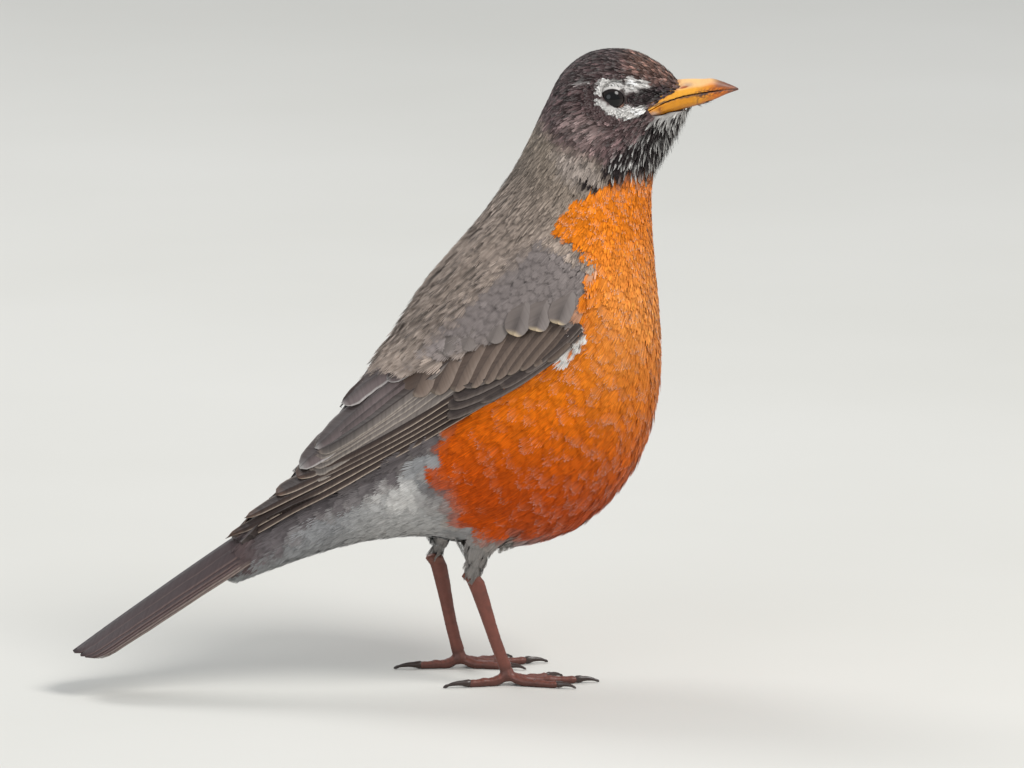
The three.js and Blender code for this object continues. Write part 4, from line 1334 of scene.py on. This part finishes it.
def horn_finish(name, roughness, coat=0.0, grain=0.1):
    """Horn or scaled skin: the painted colour with fine grain."""
    f = Finish(name, Specular_IOR_Level=0.5, Coat_Roughness=0.15)
    colour = f.attribute("plumage")
    fine = f.noise(f.place(), 1600.0, 4.0)
    broad = f.noise(f.place(), 260.0, 3.0, 1.5)
    shade = fine.within(0.35, 0.7) * grain + broad.within(0.4, 0.65) * grain * 1.6
    return f.give(
        Base_Color=f.mix(shade, colour, HORN_DARK),
        Roughness=roughness + 0.18 * broad,
        Coat_Weight=coat * (1 - fine * 0.4),
        Normal=f.bump(fine, 0.25, 0.00006),
    )


def painted(name, mesh, points, colours, finish, slot, *nodes):
    """Puts moved points and their colours on a mesh, and shows it in place of CAD nodes."""
    move_vertices(mesh, points)
    tint_mesh(mesh, np.clip(colours, *COLOUR_RANGE))
    shade_smooth(mesh)
    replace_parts(show(name, mesh, finish), *nodes)


BILL_YELLOW = paint(240, 168, 44)
BILL_TOP_HIGHLIGHT = paint(240, 196, 138)
BILL_ORANGE = paint(214, 112, 10)
BILL_DUSK = paint(92, 70, 66)
BILL_LOWER = paint(216, 140, 0)
BILL_LILAC = paint(136, 116, 124)
# Dark mottling, also laid as painted shade under the lower half.
BILL_MOTTLE_AND_SHADE = paint(134, 66, 16)
BILL_RUST = paint(150, 58, 14)
BILL_SKIN = paint(206, 176, 158)
GAPE_X = (71, 76, 80, 84, 87, 91, 97)  # the mouth's line, from the corner to the tip
GAPE_Z = (166.9, 168.6, 169.6, 170.3, 170.6, 171.3, 171.8)


def upper_bill(colour, points, normals, x, y, z, gape, near_tip):
    """The upper half's colours and shape: a slit of a nostril in a groove, and a ridge that runs level as
    far as the tip's bend."""
    slit = ((x - 82.2 - 0.3 * (z - 173)) / 1.5) ** 2 + ((z - 173.1 - 0.25 * (x - 82.2)) / 0.5) ** 2
    groove = np.exp(-slit) * (np.abs(y) > 1.0)
    colour = layered(
        colour,
        # A painted highlight along the top of the upper half.
        (0.8 * smoothstep(z - gape, 1.8, 3.4), BILL_TOP_HIGHLIGHT),
        (0.55 * spot(x, z, (83.4, 173.9), (1.6, 0.8)), BILL_LILAC),
        (0.9 * smoothstep(groove, 0.3, 0.8), BILL_RUST),
        (0.8 * smoothstep(x, 89.5, 93) * smoothstep(z - gape, 0.7, 1.5), BILL_DUSK),
    )
    points = points - normals * (0.4 * groove)[:, None]
    points[:, 2] -= 0.6 * smoothstep(x, 91, 87) * smoothstep(z, 171.5, 175) + 0.12 * near_tip
    return colour, points


def lower_bill(colour, points, normals, x, z, near_tip, wander, mottle):
    """The lower half's colours, with pale bare skin at the corner of the mouth, and its raised tip."""
    corner = 0.8 * spot(x, z, (75.4, 166.7), (0.8, 1.1)) * smoothstep(mottle, 0.2, 0.5)
    colour = layered(
        colour,
        (smoothstep(x + wander, 87.5, 84), BILL_LOWER),
        # Painted shade on the underside, where it faces down.
        (0.6 * smoothstep(normals[:, 2], -0.55, -0.85), BILL_MOTTLE_AND_SHADE),
        (0.6 * hump(x, 86.2, 0.2), BILL_MOTTLE_AND_SHADE * 0.5),
        (0.85 * spot(x, z, (73.4, 165.3), (1.5, 0.9)), BILL_SKIN),
        (corner, BILL_MOTTLE_AND_SHADE),
    )
    points[:, 2] += 0.26 * near_tip
    return colour, points


def make_bill(finish):
    for name in ("bill_upper", "bill_lower"):
        mesh = smoothed(name, [name], 0.28, 5, 0.06)
        points, normals = vertices_of(mesh), normals_of(mesh)
        x, y, z = turned(points, -HEAD_TURN).T
        gape = np.interp(x, GAPE_X, GAPE_Z)
        wander = 0.5 * np.sin(x * 3.1 + z * 1.3) + 0.5 * np.sin(x * 1.7 - z * 2.9 + 1)
        mottle = np.sin(x * 3.3 + z + np.sin(z * 4.1)) * np.sin(z * 4.3 - x * 1.7 + np.sin(x * 3.1))
        mottle = mottle * 0.5 + 0.5
        near_tip = smoothstep(x, 90, 95)
        colour = blended(BILL_YELLOW + np.zeros_like(points), smoothstep(x + wander, 84, 93), BILL_ORANGE)
        if name == "bill_upper":
            colour, points = upper_bill(colour, points, normals, x, y, z, gape, near_tip)
        else:
            colour, points = lower_bill(colour, points, normals, x, z, near_tip, wander, mottle)
        root = 1 - within_outline(x, z, BILL_BARE, 2.2)
        seam = smoothstep(x, 84, 88) * smoothstep(np.abs(z - gape), 1.9, 0.4)
        worn = np.exp(-(((x - 88.0) / 2.8) ** 2 + ((z - gape) / 1.1) ** 2))
        colour = layered(
            colour,
            (0.6 * root * smoothstep(wander, -0.6, 0.6), BILL_RUST),
            (0.85 * seam * smoothstep(mottle, 0.3, 0.65), BILL_MOTTLE_AND_SHADE),
            (0.95 * worn * smoothstep(mottle, 0.4, 0.6), BILL_DUSK * 0.4),
            (0.8 * smoothstep(x, 92.5, 97.5), BILL_DUSK),
            (0.85 * smoothstep(np.abs(z - gape + 0.2 * wander), 0.5, 0.1), BILL_DUSK * 0.6),
        )
        painted(name + "_horn", mesh, points, colour, finish, "bill", name)


def eye_finish():
    f = Finish("eye_gloss", Roughness=0.06, Specular_IOR_Level=0.22, Coat_Roughness=0.03)
    colour = f.attribute("plumage")
    fleck = f.noise(f.place(), 2400.0, 3.0)
    return f.give(Base_Color=f.mix(fleck * 0.5, colour, GLOSS_DARK), Coat_Weight=0.15 + 0.1 * fleck)


EYE_SET = np.array([-0.85, 0.0, -1.05])  # from the solid eye's middle
EYE_SIZE = 0.93  # of the solid eye's
IRIS = paint(30, 20, 17)
PUPIL = paint(8, 6, 6)
EYE_RIM = paint(22, 14, 12)


def make_eyes(gloss, lid_finish):
    for side, sign in SIDES.items():
        node = f"eye_{side}"
        low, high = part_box(node)
        centre = np.array((low + high) / 2) / MM + EYE_SET
        radius = (high.z - low.z) / 2 / MM * EYE_SIZE
        out = turned_way(np.array([[0.0, sign, 0.0]]), HEAD_TURN)[0]
        bm = bmesh.new()
        bmesh.ops.create_icosphere(bm, subdivisions=5, radius=radius * MM)
        bmesh.ops.translate(bm, verts=bm.verts, vec=Vector(centre * MM))
        mesh = mesh_of(bm, node)
        points = vertices_of(mesh)
        facing = ((points - centre) / radius) @ out
        bulge = 0.15 * smoothstep(facing, 0.55, 0.95)
        points = points + out * bulge[:, None]
        aside = np.sqrt(np.maximum(1 - facing**2, 0)) * radius
        colour = layered(
            IRIS + np.zeros_like(points),
            (smoothstep(aside, 2.5, 2.1), PUPIL),
            (smoothstep(aside, 3.0, 3.5), EYE_RIM),
        )
        painted(node + "_ball", mesh, points, colour, gloss, "eye", node)
        make_lids(side, sign, centre, radius, lid_finish)


# A lid's section: out from the eye's axis, and outwards from the eyeball's surface at the rim.
LID_SECTION = [
    (3.4, -1.4),
    (3.36, -0.05),
    (3.44, 0.12),
    (3.6, 0.1),
    (3.85, -0.25),
    (4.3, -0.9),
    (4.5, -1.4),
]
LID_FLATNESS = 0.84  # height over width
LID_SKIN = paint(150, 112, 96)
LID_DARK = paint(36, 29, 28)
LID_BROWN = paint(66, 56, 53)


def make_lids(side, sign, centre, radius, finish):
    """The bare rim round the eye, an oval that draws out to a corner in front and behind."""
    bm = bmesh.new()
    ring = [bm.verts.new((out, rise, 0)) for out, rise in LID_SECTION]
    for a, b in zip(ring, ring[1:] + ring[:1]):
        bm.edges.new((a, b))
    bmesh.ops.spin(
        bm,
        geom=bm.verts[:] + bm.edges[:],
        cent=(0, 0, 0),
        axis=(0, 1, 0),
        steps=48,
        angle=2 * math.pi,
        use_merge=True,
    )
    bmesh.ops.remove_doubles(bm, verts=bm.verts, dist=0.001)
    bmesh.ops.recalc_face_normals(bm, faces=bm.faces)
    mesh = mesh_of(bm, f"lids_{side}")
    points = vertices_of(mesh) * MM
    x, y, z = points.T
    corner = hump(z, 0, 0.9)
    reach = np.hypot(x, z)
    rim = smoothstep(reach, 4.3, 3.4)
    inner = LID_SECTION[1][0] * np.hypot(x, z * LID_FLATNESS) / reach
    depth = np.sqrt(radius**2 - inner**2)
    # Past the rim the skin is white over the eye and brown in front of it, as the feathers there are.
    face = np.where((z > 1.4 * x)[:, None], WHITE * 0.85, LID_BROWN)
    past = smoothstep(reach, 3.68, 3.82) * smoothstep(z, -2.4, -1.2)
    colour = layered(
        LID_SKIN + np.zeros_like(points),
        (smoothstep(z, -2.5, -1.2), LID_DARK),
        (past, face),
    )
    points = np.stack([x * (1 + 0.06 * corner * rim), sign * (depth + y), z * LID_FLATNESS], 1)
    if sign < 0:
        mesh.flip_normals()
    move_vertices(mesh, turned_way(points, HEAD_TURN) + centre)
    tint_mesh(mesh, colour)
    shade_smooth(mesh)
    show(f"lids_{side}", mesh, finish)


LEG_BROWN = paint(116, 62, 49)
LEG_DARK = paint(62, 34, 28)
LEG_PALE = paint(150, 104, 84)
CLAW_HORN = paint(58, 42, 36)
SHIN_PLATE = 4.6  # the height of a plate
TOE_SCUTE = 1.25  # the length of a scale
CLAW_SUNK = 1.1  # how far a claw's base goes into its toe


def make_legs(skin_finish, claw_finish):
    for side in SIDES:
        low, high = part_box(f"foot_{side}")
        foot = np.array((low + high) / 2) / MM
        nodes = (f"shin_{side}", f"foot_{side}")
        mesh = smoothed(f"leg_{side}", nodes, 0.36, 4, 0.04)
        points, normals = vertices_of(mesh), normals_of(mesh)
        x, y, z = points.T
        shin = smoothstep(z, 4.5, 7.0)
        reach = np.hypot(x - foot[0] - 2.5, y - foot[1])
        # Broad plates down the front of the shin, small ones over the toes, pads beneath.
        front = smoothstep(normals[:, 0], -0.2, 0.5)
        plates = shin * front * np.abs(np.sin(z * math.pi / SHIN_PLATE)) ** 0.35
        rows = np.abs(np.sin(reach * math.pi / TOE_SCUTE)) ** 0.5
        scutes = (1 - shin) * smoothstep(normals[:, 2], 0.0, 0.5) * rows
        relief = 0.10 * (plates - shin * front) + 0.09 * (scutes - 0.8 * (1 - shin))
        points = points + normals * relief[:, None]
        # The shin broadens to the heel, which sits up in the thigh's feathers.
        middle = (z > 8) & (z < 32)
        axis = np.polyval(np.polyfit(z[middle], x[middle], 1), z)
        points[:, 0] += (x - axis) * 0.2 * smoothstep(z, 14, 30) + 0.9 * smoothstep(z, 10, 32)
        points[:, 2] -= 0.55 * np.maximum(z - 31, 0)
        points[:, 2] = np.maximum(points[:, 2], 0.0)
        colour = layered(
            LEG_BROWN + np.zeros_like(points),
            (0.5 * (1 - plates) * shin * front, LEG_DARK),
            (0.6 * (1 - scutes) * (1 - shin), LEG_DARK),
            (0.3 * smoothstep(z, 30, 38), LEG_PALE),
        )
        painted(f"leg_{side}_scaled", mesh, points, colour, skin_finish, "legs", *nodes)
        for toe in ("inner", "middle", "outer", "hind"):
            make_claw(f"claw_{side}_{toe}", foot, claw_finish)


def make_claw(node, foot, finish):
    """A claw with rounded facets, its base set into the toe."""
    bm = merged([node])
    bmesh.ops.subdivide_edges(bm, edges=bm.edges, cuts=2, smooth=0.8, use_grid_fill=True)
    mesh = mesh_of(bm, node)
    points = vertices_of(mesh)
    from_foot = points[:, :2] - foot[:2]
    reach = np.linalg.norm(from_foot, axis=1)
    share = (reach - reach.min()) / np.ptp(reach)
    points[:, :2] -= from_foot / reach[:, None] * (CLAW_SUNK * smoothstep(share, 0.4, 0.0))[:, None]
    colour = blended(CLAW_HORN + np.zeros_like(points), smoothstep(reach, 12, 24), CLAW_HORN * 0.5)
    painted(node + "_horn", mesh, points, colour, finish, "claws", node)


# Painted shade for the wing's lining, which shows between the long feathers.
LINING_DEEP_SHADE = paint(50, 41, 38)
LINING_ARM_SHADE = paint(92, 82, 77)


def make_wings(form):
    flight = vane_finish("flight_vanes", 0.48)
    lining = plume_finish("wing_lining", 0.8, 0.1)
    right = wing_vanes(WingSheet(form), WING_TRACTS)
    for side in SIDES:
        nodes = [node for node in WING_NODES if side in node]
        mesh = smoothed(f"wing_{side}", nodes, 0.6, 6, 0.25)
        points = vertices_of(mesh)
        x, _, z = points.T
        bare = within_outline(x, z, WING_VANES, 3)
        points = points - normals_of(mesh) * (0.6 + 0.9 * bare * smoothstep(x, 8, -2))[:, None]
        arm = smoothstep(points[:, 2] - 0.66 * points[:, 0], 79, 82)
        # The lining is painted shade: darker than the shoulder under the coverts, darkest where it shows
        # between the long feathers, less dark towards the arm.
        colour = layered(
            np.tile(SHOULDER * 0.7, (len(points), 1)),
            (bare, LINING_DEEP_SHADE),
            (bare * arm, LINING_ARM_SHADE),
        )
        painted(f"wing_{side}_lining", mesh, points, colour, lining, "wing_coverts", *nodes)
        vanes = right if side == "right" else right.mirrored()
        show(f"wing_{side}_vanes", vanes.mesh(f"wing_{side}_vanes"), flight)
    tail_mesh = tail_vanes().mesh("tail_vanes")
    tail = show("tail_vanes", tail_mesh, vane_finish("tail_vane", 0.45))
    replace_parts(tail, "tail")


# ---------------------------------------------------------------- floor, light and camera


def floor_finish():
    f = Finish("pale_floor", Roughness=0.85, Specular_IOR_Level=0.2)
    cloud = f.noise(f.place(), 3.0, 4.0).within(0.3, 0.7)
    return f.give(Base_Color=f.mix(cloud, paint(206, 205, 199), paint(212, 211, 206)))


def make_stage():
    bm = bmesh.new()
    bmesh.ops.create_grid(bm, x_segments=2, y_segments=2, size=8.0)
    floor = placed("floor", mesh_of(bm, "floor"))
    floor.data.materials.append(floor_finish())


MIDDLE = (0.01, 0.0, 0.1)  # what the lamps face, in metres
# Name, place, size, power and colour.
LAMPS = [
    ("key", (0.9, -0.9, 1.5), 0.9, 26.0, (1.0, 0.98, 0.95)),
    ("fill", (-1.2, -1.3, 0.7), 1.2, 7.0, (0.94, 0.97, 1.0)),
    ("rim", (-0.5, 1.1, 1.3), 0.8, 10.0, (1, 1, 1)),
]


def light_the_room():
    world = bpy.data.worlds.new("soft_room")
    world.use_nodes = True
    world.node_tree.nodes["Background"].inputs["Color"].default_value = (0.93, 0.96, 1.0, 1)
    world.node_tree.nodes["Background"].inputs["Strength"].default_value = 0.55
    bpy.context.scene.world = world
    for name, place, size, power, colour in LAMPS:
        data = bpy.data.lights.new(name, "AREA")
        data.shape = "DISK"
        data.size = size
        data.energy = power
        data.color = colour
        lamp = placed(name, data)
        lamp.location = place
        lamp.rotation_euler = (Vector(MIDDLE) - Vector(place)).to_track_quat("-Z", "Y").to_euler()


CAMERA_AIM = Vector((0.03213, 0.0, 0.0860))
CAMERA_AWAY = 4.0
CAMERA_AZIMUTH = math.radians(-12)
CAMERA_ELEVATION = math.radians(10)


def place_camera():
    back = Vector((
        math.sin(CAMERA_AZIMUTH) * math.cos(CAMERA_ELEVATION),
        -math.cos(CAMERA_AZIMUTH) * math.cos(CAMERA_ELEVATION),
        math.sin(CAMERA_ELEVATION),
    ))
    data = bpy.data.cameras.new("camera")
    data.sensor_width = 36.0
    data.lens = 485.2
    data.clip_end = 50.0
    camera = placed("camera", data)
    camera.location = CAMERA_AIM + back * CAMERA_AWAY
    camera.rotation_euler = (-back).to_track_quat("-Z", "Y").to_euler()
    bpy.context.scene.camera = camera
    bpy.context.scene.view_settings.view_transform = "Standard"


# ---------------------------------------------------------------- assembly

FORM_SMOOTHING = (1.0, 8, 0.35)  # voxel, passes and swell
HEAD_FROM = 5.3  # ribs at which pieces of the coat begin
NECK_FROM = 3.9
BACK_FROM = -8  # and places along and up
BELLY_TOP = 92


def coat_pieces(coat):
    """The coat's pieces: the name of each, its feathers, the barbs on each of them, and the slot."""
    throat = coat.throat > 0.5
    head = coat.rib > HEAD_FROM
    neck = ~head & (coat.rib > NECK_FROM)
    breast = ~head & ~neck & (coat.under > 0.5) & (coat.x > 0)
    back = ~head & ~neck & ~breast & (coat.x > BACK_FROM)
    rear = ~head & ~neck & ~breast & ~back
    belly = breast & (coat.z <= BELLY_TOP)
    return [
        ("head_plumage", head & ~throat, 4, "head_feathers"),
        ("throat_plumage", throat, 4, "head_feathers"),
        ("neck_plumage", neck & ~throat, 9, "back_feathers"),
        ("breast_plumage", breast & ~belly, 30, "breast_feathers"),
        ("belly_plumage_right", belly & (coat.side < 0), 30, "breast_feathers"),
        ("belly_plumage_left", belly & (coat.side > 0), 30, "breast_feathers"),
        ("back_plumage", back, 30, "back_feathers"),
        ("rump_plumage", rear, 30, "pale_feathers"),
    ]


def make_forms():
    """The flesh alone, which the skin is made of, and the whole body's outside, which feathers lie on."""
    flesh = smoothed("skin", FLESH, *FORM_SMOOTHING)
    outside = smoothed("outer", FLESH + WING_NODES + ["bill_upper", "bill_lower"], *FORM_SMOOTHING)
    for mesh in (flesh, outside):
        lower_forehead(mesh)
        build_up_face(mesh)
    return flesh, Form(outside)


make_stage()
light_the_room()
place_camera()

flesh_mesh, outer = make_forms()
make_skin(flesh_mesh, plume_finish("down", 0.8, 0.2))
coat = body_coat(outer)
plume = plume_finish("plumage", 0.66, 0.08)
for name, part, barbs, slot in coat_pieces(coat):
    grow_feathers(name, outer, coat.pick(part), barbs, plume)

make_wings(outer)
make_bill(horn_finish("bill_horn", 0.42, 0.04, 0.06))
make_eyes(eye_finish(), horn_finish("lid_skin", 0.5))
make_legs(horn_finish("leg_skin", 0.42, 0.1, 0.14), horn_finish("claw_horn", 0.3, 0.3))
